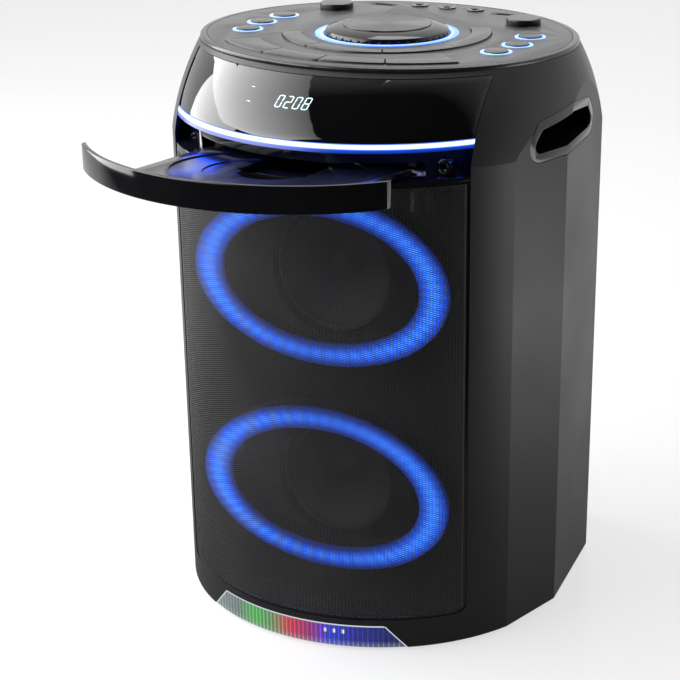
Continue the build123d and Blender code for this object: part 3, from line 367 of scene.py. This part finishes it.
def lit_rings(name, strength):
    """Diffused light in two oval rings, with a lamp every few millimetres."""
    made = Finish(name, (0.02, 0.05, 0.3), 0.4)
    x, _, z = made.axes()
    upper = made.math("GREATER_THAN", z, sum(WOOFER_Z) / 2)
    z = made.math("SUBTRACT", z, made.between(upper, 0.0, 1.0, *WOOFER_Z))
    u, v = made.math("DIVIDE", x, RING_A), made.math("DIVIDE", z, RING_B)
    reach = made.math("SQRT", made.math("ADD", made.math("MULTIPLY", u, u), made.math("MULTIPLY", v, v)))
    off = made.math("ABSOLUTE", made.math("SUBTRACT", reach, 1.0))
    core = made.between(off, 0.02, 0.16, 1.0, 0.0)
    lamps = made.math("SINE", made.math("MULTIPLY", made.math("ARCTAN2", v, u), 54.0))
    level = made.math("MULTIPLY", core, made.between(lamps, -1.0, 1.0, 0.8, 1.0))
    level = made.math("MULTIPLY", level, made.between(made.math("ABSOLUTE", u), 0.1, 0.9, 0.78, 1.0))
    level = made.math("ADD", level, made.math("MULTIPLY", made.noise(40.0), 0.12))
    tint = made.ramp(level, (0.0, (0.0, 0.002, 0.02)), (0.3, (0.001, 0.012, 0.14)),
                     (0.65, (0.008, 0.085, 0.6)), (1.0, (0.035, 0.22, 1.0)))
    made.glow(tint, strength)
    return made


def lit_bar(name, glow, strength):
    """A white light guide that spills blue light downwards."""
    made = Finish(name, (0.01, 0.025, 0.16), 0.25)
    normal = made.node("ShaderNodeNewGeometry").outputs["Normal"]
    down = made.between(made.axes(normal)[2], -0.9, -0.5, 1.0, 0.0)
    low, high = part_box("light_bar")
    rise = made.between(made.axes()[2], low.z, high.z)
    face = made.ramp(rise, (0.0, (0.0, 0.004, 0.06)), (0.26, (0.0, 0.02, 0.3)), (0.4, (0.02, 0.1, 0.6)),
                     (0.5, (0.7, 0.85, 1.0)), (0.86, (0.9, 0.95, 1.0)), (1.0, (0.03, 0.12, 0.6)))
    face = made.mixed(made.between(made.noise(60.0), 0.3, 0.7, 0.0, 0.25), face, (0.0, 0.05, 0.4, 1.0))
    made.glow(made.mixed(down, face, (*glow, 1.0)), made.between(down, 0.0, 1.0, strength, strength * 6.0))
    return made


JOG_RING_R = 44.6 * MM          # middle of the light ring round the jog knob


def lit_deck(name, glow, strength, centre):
    """Light rings on the deck: pale in their middle, blue at their edges."""
    made = Finish(name, (0.3, 0.5, 1.0), 0.3)
    x, y, _ = made.axes(made.centred(centre))
    reach = made.math("SQRT", made.math("ADD", made.math("MULTIPLY", x, x), made.math("MULTIPLY", y, y)))
    off = made.math("ABSOLUTE", made.math("SUBTRACT", reach, JOG_RING_R))
    jog = made.between(off, 0.2 * MM, 2.0 * MM, 1.0, 0.0)
    keys = made.math("GREATER_THAN", reach, 60.0 * MM)
    level = made.math("MAXIMUM", jog, made.math("MULTIPLY", keys, 0.72))
    level = made.math("MULTIPLY", level, made.between(made.noise(120.0), 0.3, 0.7, 0.85, 1.1))
    tint = made.ramp(level, (0.0, tinted(glow, 0.8)), (0.5, (0.04, 0.2, 1.0)), (1.0, (0.42, 0.66, 1.0)))
    made.glow(tint, strength)
    return made


def foot_light(name, strength, half, ground=0.35):
    """Clear ribbed plastic over coloured lamps: clear, green, red and blue from left to right."""
    made = Finish(name, (0.05, 0.055, 0.06), 0.18, ior=1.49)
    x, _, z = made.axes()
    low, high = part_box("base_light_window")
    along = made.between(x, -half, half)
    hue = made.ramp(along, (0.0, (0.26, 0.31, 0.30)), (0.17, (0.17, 0.24, 0.20)), (0.27, (0.08, 0.62, 0.07)),
                    (0.37, (0.16, 0.42, 0.12)), (0.48, (0.8, 0.03, 0.07)), (0.57, (0.5, 0.01, 0.22)),
                    (0.66, (0.02, 0.05, 0.9)), (0.8, (0.01, 0.02, 0.38)), (1.0, (0.01, 0.015, 0.1)))
    up = made.between(z, low.z, high.z)
    aside = made.math("SUBTRACT", along, FOOT_LAMPS)
    lamp = made.between(made.math("COSINE", made.math("MULTIPLY", aside, LAMP_TURNS)), 0.2, 0.7)
    near = made.between(made.math("ABSOLUTE", aside), 0.05, 0.06, 1.0, 0.0)
    band = made.between(made.math("ABSOLUTE", made.math("SUBTRACT", up, 0.68)), 0.05, 0.12, 1.0, 0.0)
    hot = made.math("MULTIPLY", made.math("MULTIPLY", lamp, near), band)
    lit = made.mixed(made.between(up, 0.3, 0.0, 0.0, 0.55), hue, (0.45, 0.5, 0.6, 1.0))
    lit = made.mixed(hot, lit, (0.85, 0.88, 1.0, 1.0))
    side = made.math("SUBTRACT", made.math("SUBTRACT", half, made.math("ABSOLUTE", x)),
                     made.math("MULTIPLY", up, FOOT_RUN))
    edge = made.math("MINIMUM", side, made.math("SUBTRACT", high.z, z))
    rim = made.between(edge, 0.7 * MM, 1.4 * MM, 1.0, 0.0)
    made.put("Base Color", made.ramp(along, (0.0, (0.07, 0.08, 0.08)), (1.0, (0.03, 0.03, 0.05))))
    level = made.between(rim, 0.0, 1.0, strength * ground, 0.8)
    made.glow(made.mixed(rim, lit, (0.82, 0.87, 0.95, 1.0)), level)
    made.bump(made.noise(900.0), 0.1, 0.00002)
    return made


def build_finishes(looks):
    """Every finish of the speaker, by the name of its job."""
    shell, gloss, deck, glow = (tuple(part) for part in (looks.shell, looks.gloss, looks.deck, looks.glow))
    power = looks.glow_strength
    return {
        "shell": grained("satin_shell", shell, 0.40, specular_ior_level=0.38),
        "tray": grained("satin_tray", tinted(shell, 0.5), 0.22, 900.0, 0.00002),
        "gloss": grained("gloss_black", gloss, 0.09, 160.0, 0.000004, 30.0, 0.02),
        "glass": grained("window_black", tinted(gloss, 0.5), 0.035, 120.0, 0.000002, 20.0, 0.01,
                         coat_weight=0.3),
        "grille": grained("painted_mesh", (0.035, 0.035, 0.037), 0.42, 1200.0, 0.00002),
        "rubber": grained("foot_rubber", (0.02, 0.02, 0.021), 0.8, 700.0, 0.00008),
        "wood": grained("pressed_board", (0.16, 0.11, 0.07), 0.8, 500.0, 0.0001, 60.0),
        "board": grained("circuit_board", (0.015, 0.09, 0.035), 0.35, 300.0, 0.00005, 160.0),
        "motor": brushed("motor_can", (0.05, 0.05, 0.052), 0.4, 0.8),
        "steel": brushed("plated_steel", (0.42, 0.42, 0.44), 0.3, 1.0),
        "chrome": capped("bright_ring", (0.32, 0.32, 0.34), 0.22, (0.02, 0.02, 0.02)),
        "nylon": grained("natural_nylon", (0.62, 0.6, 0.55), 0.5, 800.0, 0.00003),
        "cone": grained("pressed_cone", (0.02, 0.02, 0.022), 0.7, 420.0, 0.0001),
        "surround": grained("cone_rubber", (0.012, 0.012, 0.012), 0.55, 420.0, 0.00004),
        "deck": brushed("brushed_deck", deck, 0.34),
        "keys": capped("brushed_keys", tinted(deck, 1.15), 0.30, tinted(gloss, 1.2)),
        "rim": grained("rim_black", tinted(gloss, 3.0), 0.2, 500.0, 0.00001),
        "spun": turned_metal_painted_rays("spun_disc", (0.07, 0.07, 0.073), 0.26, DECK),
        "rings": lit_rings("ring_light", power * RING_SHARE),
        "bar": lit_bar("bar_light", glow, power * 1.1),
        "deck_light": lit_deck("deck_light", glow, power * 0.8, DECK),
        "foot": foot_light("foot_light", 1.1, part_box("base_light_window")[1].x),
        "foot_rib": foot_light("foot_rib", 1.1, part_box("base_light_window")[1].x, 1.0),
        "digits": digit_light("digit_light"),
    }


def digit_light(name):
    made = Finish(name, (0.5, 0.8, 0.85), 0.4)
    made.glow(made.ramp(made.noise(900.0), (0.3, (0.45, 0.72, 0.76)), (0.7, (0.6, 0.86, 0.9))), 0.9)
    return made


FINISHES = {}


def finish(name):
    if not FINISHES:
        FINISHES.update(build_finishes(bpy.context.scene.speaker_looks))
    return FINISHES[name].material


# ---------------------------------------------------------------- operators
class SPEAKER_OT_cabinet(bpy.types.Operator):
    """Finish the shells, the hand grips, the feet and the back"""
    bl_idname = "speaker.cabinet"
    bl_label = "Cabinet"

    def execute(self, context):
        for node in ("front_shell", "rear_shell"):
            painted(node, finish("shell"))
        for node in ("base_plate", "bass_port", "power_inlet"):
            painted(node, finish("shell"))
        softened("handle_pockets", finish("gloss"), 0.8 * MM)
        softened("rubber_feet", finish("rubber"), 0.8 * MM)
        painted("screws", finish("steel"))
        return {"FINISHED"}


class SPEAKER_OT_grille(bpy.types.Operator):
    """Perforate a sheet and roll it into the grille"""
    bl_idname = "speaker.grille"
    bl_label = "Grille"

    def execute(self, context):
        looks = context.scene.speaker_looks
        low, high = GRILLE_LOW, GRILLE_HIGH
        half = FACE_R * atan2(high.x, sqrt(FACE_R ** 2 - high.x ** 2))      # the sheet before it is rolled
        columns = int(half / looks.hole_width)
        rows = int((high.z - low.z) / looks.hole_height)
        bpy.ops.object.select_all(action="DESELECT")
        bpy.ops.mesh.primitive_grid_add(x_subdivisions=columns, y_subdivisions=rows, size=1.0,
                                        location=(0, 0, (low.z + high.z) / 2), rotation=(pi / 2, 0, 0))
        sheet = bpy.context.object
        sheet.scale = (2 * half, high.z - low.z, 1.0)
        settled(sheet)
        with editing(sheet, "EDGE"):
            bpy.ops.mesh.select_all(action="SELECT")
            bpy.ops.mesh.poke()
            choose(sheet, "edges", lambda e: not e.is_boundary and self.straight(e))
            bpy.ops.mesh.dissolve_edges(use_verts=False)
            bpy.ops.mesh.select_mode(type="FACE")
            choose(sheet, "faces", lambda f: len(f.verts) == 4)
            bpy.ops.mesh.inset(thickness=looks.web / 2, depth=0.0, use_individual=True, use_boundary=True)
            bpy.ops.mesh.delete(type="FACE")
            for side in (-1, 1):
                bpy.ops.mesh.select_all(action="SELECT")
                bpy.ops.mesh.bisect(plane_co=(side * (half - 2.2 * MM), 0, low.z), plane_no=(side, 0, -1),
                                    clear_outer=True)
        for vertex in sheet.data.vertices:
            turn = vertex.co.x / FACE_R
            vertex.co.x, vertex.co.y = FACE_R * sin(turn), ARC_Y - FACE_R * cos(turn)
        dressed(sheet, "perforated_grille", finish("grille"), BODY_OF["speaker_grille"],
                SLOT_OF["speaker_grille"], "speaker_grille")
        softened("grille_frame", finish("gloss"), 0.5 * MM)
        return {"FINISHED"}

    def straight(self, edge):
        run = edge.verts[0].co - edge.verts[1].co
        return abs(run.x) < 1e-6 or abs(run.z) < 1e-6


class SPEAKER_OT_woofers(bpy.types.Operator):
    """Finish the woofers, the oval light rings and the baffle"""
    bl_idname = "speaker.woofers"
    bl_label = "Woofers"

    def execute(self, context):
        for node, job in (("light_rings", "rings"), ("light_chambers", "shell"), ("baffle", "shell"),
                          ("woofer_frames", "steel"), ("woofer_surrounds", "surround"),
                          ("woofer_cone_upper", "cone"), ("woofer_cone_lower", "cone")):
            painted(node, finish(job))
        return {"FINISHED"}


class SPEAKER_OT_foot_light(bpy.types.Operator):
    """Rib the coloured window at the foot and give it a bright rim"""
    bl_idname = "speaker.foot_light"
    bl_label = "Foot light"

    def execute(self, context):
        looks = context.scene.speaker_looks
        softened("base_light_window", finish("foot"), 0.4 * MM)
        low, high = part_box("base_light_window")
        slope = FOOT_RUN / (high.z - low.z)
        count = int(high.x / looks.rib_step)
        ribs = []
        for i in range(-count, count + 1):
            x = i * looks.rib_step
            top = min(high.z - 1.0 * MM, low.z + (high.x - 1.2 * MM - abs(x)) / slope)
            if top - low.z < 2.5 * MM:
                continue
            place = on_front(x, (low.z + top) / 2, FACE_R - 0.25 * MM)
            bpy.ops.object.select_all(action="DESELECT")
            bpy.ops.mesh.primitive_cylinder_add(vertices=8, radius=0.55 * MM, depth=top - low.z - 0.8 * MM,
                                                location=place)
            rib = settled(bpy.context.object)
            with editing(rib, "EDGE"):
                choose(rib, "edges", lambda e: abs(e.verts[0].co.z - e.verts[1].co.z) < 1e-6)
                bpy.ops.mesh.bevel(offset=0.25 * MM, segments=2)
            ribs.append(rib)
        ribs = joined(ribs, "foot_light_ribs")
        smooth(ribs, 60.0)
        dressed(ribs, "foot_light_ribs", finish("foot_rib"), BODY_OF["base_light_window"], "clear_light")
        painted("led_strips", finish("board"))
        return {"FINISHED"}


SEGMENTS = {"a": ((0, 2), (1, 2)), "b": ((1, 2), (1, 1)), "c": ((1, 1), (1, 0)), "d": ((0, 0), (1, 0)),
            "e": ((0, 1), (0, 0)), "f": ((0, 2), (0, 1)), "g": ((0, 1), (1, 1))}
LIT = {"0": "abcdef", "1": "bc", "2": "abged", "3": "abgcd", "4": "fgbc", "5": "afgcd", "6": "afgedc",
       "7": "abc", "8": "abcdefg", "9": "abcdfg"}


class SPEAKER_OT_window(bpy.types.Operator):
    """Finish the leaning window and light its digits"""
    bl_idname = "speaker.window"
    bl_label = "Display window"

    def execute(self, context):
        looks = context.scene.speaker_looks
        face = softened("display_window", finish("glass"), 0.5 * MM)
        painted("display_module", finish("board"))
        painted("light_bar", finish("bar"))
        digit_w, digit_h, step = 3.7 * MM, 8.4 * MM, 6.3 * MM
        bars = []
        for i, sign in enumerate(looks.digits):
            middle = (i - (len(looks.digits) - 1) / 2) * step
            for segment in LIT[sign]:
                (u0, v0), (u1, v1) = SEGMENTS[segment]
                ends = [(middle + (u - 0.5) * digit_w, (v / 2 - 0.5) * digit_h) for u, v in ((u0, v0), (u1, v1))]
                bars.append(self.bar(*ends, 0.75 * MM))
        for x, v in ((-34.6 * MM, 7.2 * MM), (-32.2 * MM, -3.4 * MM)):
            bars.append(self.bar((x - 1.6 * MM, v), (x + 1.6 * MM, v), 0.45 * MM))
        shown = joined(bars, "display_digits")
        self.lay(shown, face)
        outward(shown)
        dressed(shown, "display_digits", finish("digits"), BODY_OF["display_window"], "light_guide")
        return {"FINISHED"}

    def bar(self, start, end, width):
        """One lit bar with pointed ends, flat in X and Z and slanted like the display's figures."""
        run = hypot(end[0] - start[0], end[1] - start[1])
        middle = ((start[0] + end[0]) / 2, (start[1] + end[1]) / 2)
        turn = atan2(end[1] - start[1], end[0] - start[0])
        bpy.ops.object.select_all(action="DESELECT")
        bpy.ops.mesh.primitive_cube_add(size=1.0, location=(middle[0], 0, middle[1]), rotation=(0, -turn, 0),
                                        scale=(run - 0.35 * MM, 0.2 * MM, width))
        piece = settled(bpy.context.object)
        with editing(piece, "EDGE"):
            choose(piece, "edges", lambda e: abs(e.verts[0].co.y - e.verts[1].co.y) > 0.1 * MM)
            bpy.ops.mesh.bevel(offset=width * 0.35, segments=1)
        return piece

    def lay(self, shown, face):
        """Carries the flat figures onto the leaning, curved window."""
        bpy.context.view_layer.update()
        for vertex in shown.data.vertices:
            x, lift, v = vertex.co.x + vertex.co.z * 0.2, vertex.co.y, vertex.co.z
            z = 371.6 * MM + v * cos(WINDOW_LEAN)
            found, place, _, _ = face.ray_cast(Vector((x, CAD_LOW.y, z)), Vector((0, 1, 0)))
            if not found:
                raise RuntimeError(f"the window has no face at {x}, {z}")
            vertex.co = place + lift * Vector((0, cos(WINDOW_LEAN), -sin(WINDOW_LEAN)))


WINDOW_LEAN = radians(45.0)


class SPEAKER_OT_drawer(bpy.types.Operator):
    """Finish the drawer, its recess and the disc mechanism"""
    bl_idname = "speaker.drawer"
    bl_label = "Disc drawer"

    def execute(self, context):
        softened("disc_tray", finish("tray"), 0.3 * MM)
        softened("drawer_bezel", finish("gloss"), 0.6 * MM, segments=3)
        softened("drawer_fascia", finish("gloss"), 0.3 * MM)
        softened("front_sockets", finish("gloss"), 0.4 * MM)
        for node, job in (("drive_chassis", "shell"), ("drive_motors", "motor"), ("loading_gear", "nylon"),
                          ("turntable", "nylon"), ("pickup_sled", "shell"), ("disc_clamp", "nylon")):
            painted(node, finish(job))
        return {"FINISHED"}


class SPEAKER_OT_deck(bpy.types.Operator):
    """Finish the control deck with its keys, dials, lights and sockets"""
    bl_idname = "speaker.deck"
    bl_label = "Control deck"

    def execute(self, context):
        looks = context.scene.speaker_looks
        softened("control_deck", finish("deck"), 0.25 * MM)
        softened("deck_rim", finish("rim"), 0.5 * MM)
        painted("deck_lights", finish("deck_light"))
        for node in sorted(NODES):
            if "_key_" in node:
                softened(node, finish("keys"), looks.edge)
        for node in ("dial_left", "dial_right"):
            softened(node, finish("keys"), looks.edge)
        softened("jack_sockets", finish("chrome"), 0.25 * MM)
        softened("usb_ports", finish("shell"), 0.3 * MM)
        painted("key_board", finish("board"))
        return {"FINISHED"}


class SPEAKER_OT_jog(bpy.types.Operator):
    """Finish the jog knob and its turned disc"""
    bl_idname = "speaker.jog"
    bl_label = "Jog knob"

    def execute(self, context):
        softened("jog_knob", finish("gloss"), 0.2 * MM)
        softened("jog_disc", finish("spun"), 0.2 * MM)
        return {"FINISHED"}


class SPEAKER_OT_inside(bpy.types.Operator):
    """Finish what the cabinet holds out of sight"""
    bl_idname = "speaker.inside"
    bl_label = "Inside"

    def execute(self, context):
        for node, job in (("divider_shelf", "wood"), ("corner_blocks", "wood"), ("main_board", "board"),
                          ("amplifier_unit", "steel")):
            painted(node, finish(job))
        return {"FINISHED"}


# ---------------------------------------------------------------- stage
CAMERA_PLACE = (541.07 * MM, -1049.395 * MM, 631.68 * MM)
CAMERA_TURN = (radians(90 - 22.391), radians(0.0), radians(24.812))
CARD_LIGHT = (9.0, 1.6)              # the card's brightness at its two long edges
FOCAL_SHARE = 1830.39 / 680          # focal length over the picture's width
MIDDLE_X, MIDDLE_Y = 420.31 / 680, 402.58 / 680


class SPEAKER_OT_stage(bpy.types.Operator):
    """Set the pale floor, the soft lights and the camera"""
    bl_idname = "speaker.stage"
    bl_label = "Stage"

    def execute(self, context):
        scene = context.scene
        scene.view_settings.view_transform = "Standard"
        bpy.ops.object.select_all(action="DESELECT")
        bpy.ops.mesh.primitive_plane_add(size=12.0, location=(0, 0, CAD_LOW.z))
        floor = settled(bpy.context.object)
        floor.name = "floor"
        floor.data.materials.append(self.floor_material())
        self.world(scene)
        self.card()
        self.soft_light("softbox_top", (0.1, 0.9, 1.9), (1.0, 0.0, 0.0), (0.0, -0.9, 0.43), 1.6, 0.9, 14.0)
        self.soft_light("softbox_left", (-1.5, -0.2, 0.8), (0.1, -1.0, 0.0), (0.0, 0.0, 1.0), 1.2, 1.4, 30.0)
        camera = bpy.data.cameras.new("camera")
        camera.sensor_width = 36.0
        camera.lens = camera.sensor_width * FOCAL_SHARE
        camera.shift_x = 0.5 - MIDDLE_X
        camera.shift_y = MIDDLE_Y - 0.5
        camera.clip_end = 50.0
        holder = bpy.data.objects.new("camera", camera)
        holder.location = CAMERA_PLACE
        holder.rotation_euler = CAMERA_TURN
        scene.collection.objects.link(holder)
        scene.camera = holder
        return {"FINISHED"}

    def soft_light(self, name, place, along, up, wide, high, power):
        light = bpy.data.lights.new(name, "AREA")
        light.shape = "RECTANGLE"
        light.size, light.size_y = wide, high
        light.energy = power
        holder = bpy.data.objects.new(name, light)
        u = Vector(along).normalized()
        v = (Vector(up) - Vector(up).dot(u) * u).normalized()
        back = u.cross(v)
        toward = Vector((0, 0, 0.3)) - Vector(place)
        if back.dot(toward) > 0:
            u, back = -u, -back
        holder.matrix_world = Matrix.Translation(place) @ Matrix((u, v, back)).transposed().to_4x4()
        bpy.context.scene.collection.objects.link(holder)

    def card(self):
        """A lit card, bright at one side, that the leaning window mirrors."""
        bpy.ops.object.select_all(action="DESELECT")
        bpy.ops.mesh.primitive_plane_add(size=1.0)
        card = bpy.context.object
        card.name = "lit_card"
        along = Vector((0.28, -0.95, -0.31)).normalized()
        side = Vector((0.762, 0.0, 0.647))
        across = (side - side.dot(along) * along).normalized()
        place = Vector((0, 0.02, 0.37)) + Vector((-0.87, -0.2, 0.778)) + along * 0.15
        card.matrix_world = (Matrix.Translation(place)
                             @ Matrix((along * 2.3, across * 1.0, along.cross(across))).transposed().to_4x4())
        settled(card)
        made = Finish("lit_card", (0.0, 0.0, 0.0), 1.0)
        spread = made.node("ShaderNodeVectorMath", {0: made.centred(place), 1: tuple(across)},
                           operation="DOT_PRODUCT")
        level = made.between(spread.outputs["Value"], -0.5, 0.5, CARD_LIGHT[0], CARD_LIGHT[1])
        light = made.node("ShaderNodeEmission", {"Color": (1, 1, 1, 1), "Strength": level})
        made.tree.links.new(light.outputs[0], made.tree.nodes["Material Output"].inputs["Surface"])
        card.data.materials.append(made.material)

    def world(self, scene):
        """White where the camera looks, pale behind the speaker and dark before it."""
        world = bpy.data.worlds.new("studio")
        scene.world = world
        world.use_nodes = True
        tree = world.node_tree
        shade = tree.nodes["Background"]
        shade.inputs["Color"].default_value = (1, 1, 1, 1)
        path = tree.nodes.new("ShaderNodeLightPath")
        place = tree.nodes.new("ShaderNodeTexCoord")
        split = tree.nodes.new("ShaderNodeSeparateXYZ")
        tree.links.new(place.outputs["Generated"], split.inputs[0])
        level = self.ranged(tree, split.outputs["Y"], -0.2, 0.3, 0.03, 0.95)
        soft = self.ranged(tree, path.outputs["Is Diffuse Ray"], 0.0, 1.0, 1.0, 0.35)
        both = tree.nodes.new("ShaderNodeMath")
        both.operation = "MULTIPLY"
        tree.links.new(level, both.inputs[0])
        tree.links.new(soft, both.inputs[1])
        most = tree.nodes.new("ShaderNodeMath")
        most.operation = "MAXIMUM"
        tree.links.new(both.outputs[0], most.inputs[0])
        tree.links.new(path.outputs["Is Camera Ray"], most.inputs[1])
        tree.links.new(most.outputs[0], shade.inputs["Strength"])

    def ranged(self, tree, value, low, high, to_low, to_high):
        made = tree.nodes.new("ShaderNodeMapRange")
        tree.links.new(value, made.inputs[0])
        for i, number in enumerate((low, high, to_low, to_high)):
            made.inputs[i + 1].default_value = number
        return made.outputs[0]

    def floor_material(self):
        """Pale gloss floor, white to the camera. In reflections it is pale beside and behind the speaker,
        and brightest in a patch off to the right that the side facet mirrors.
        """
        made = Finish("pale_floor", (0.8, 0.8, 0.8), 0.16)
        tone = made.ramp(made.noise(3.0), (0.3, (0.84, 0.84, 0.85)), (0.7, (0.87, 0.87, 0.88)))
        made.put("Base Color", tone)
        x, y, _ = made.axes()
        reach = made.math("SQRT", made.math("ADD", made.math("MULTIPLY", x, x), made.math("MULTIPLY", y, y)))
        behind = made.between(y, -0.3, 0.05, 0.03, 1.0)
        pale = made.math("MULTIPLY", behind, made.between(reach, 0.15, 0.7, 0.3, 0.85))
        patch = made.math("MULTIPLY", made.between(y, -0.08, 0.2), made.between(y, 0.42, 0.62, 1.0, 0.0))
        patch = made.math("MULTIPLY", patch, made.between(x, 0.35, 0.75, 0.0, 3.0))
        pale = made.math("MULTIPLY", pale, made.math("ADD", patch, 1.0))
        path = made.node("ShaderNodeLightPath")
        camera = path.outputs["Is Camera Ray"]
        level = made.math("MAXIMUM", made.math("MULTIPLY", pale, path.outputs["Is Glossy Ray"]), camera)
        light = made.node("ShaderNodeEmission", {"Color": (1, 1, 1, 1), "Strength": level})
        share = made.math("MAXIMUM", made.math("MULTIPLY", camera, 0.66), path.outputs["Is Glossy Ray"])
        mix = made.node("ShaderNodeMixShader", {0: share, 1: made.shader.outputs[0], 2: light.outputs[0]})
        made.tree.links.new(mix.outputs[0], made.tree.nodes["Material Output"].inputs["Surface"])
        return made.material


class SPEAKER_PT_looks(bpy.types.Panel):
    """Lists the speaker's pieces and their settings"""
    bl_idname = "SPEAKER_PT_looks"
    bl_label = "Karaoke Speaker"
    bl_space_type = "VIEW_3D"
    bl_region_type = "UI"
    bl_category = "Speaker"

    def draw(self, context):
        looks = context.scene.speaker_looks
        for key in SpeakerLooks.__annotations__:
            self.layout.prop(looks, key)
        for step in STEPS:
            self.layout.operator(step.bl_idname)


STEPS = (SPEAKER_OT_stage, SPEAKER_OT_cabinet, SPEAKER_OT_grille, SPEAKER_OT_woofers, SPEAKER_OT_foot_light,
         SPEAKER_OT_window, SPEAKER_OT_drawer, SPEAKER_OT_deck, SPEAKER_OT_jog, SPEAKER_OT_inside)


def register():
    for kind in (SpeakerLooks, *STEPS, SPEAKER_PT_looks):
        bpy.utils.register_class(kind)
    bpy.types.Scene.speaker_looks = bpy.props.PointerProperty(type=SpeakerLooks)


def unregister():
    del bpy.types.Scene.speaker_looks
    for kind in (SPEAKER_PT_looks, *reversed(STEPS), SpeakerLooks):
        bpy.utils.unregister_class(kind)


def main():
    register()
    for step in STEPS:
        group, action = step.bl_idname.split(".")
        getattr(getattr(bpy.ops, group), action)()


if __name__ == "__main__":
    main()
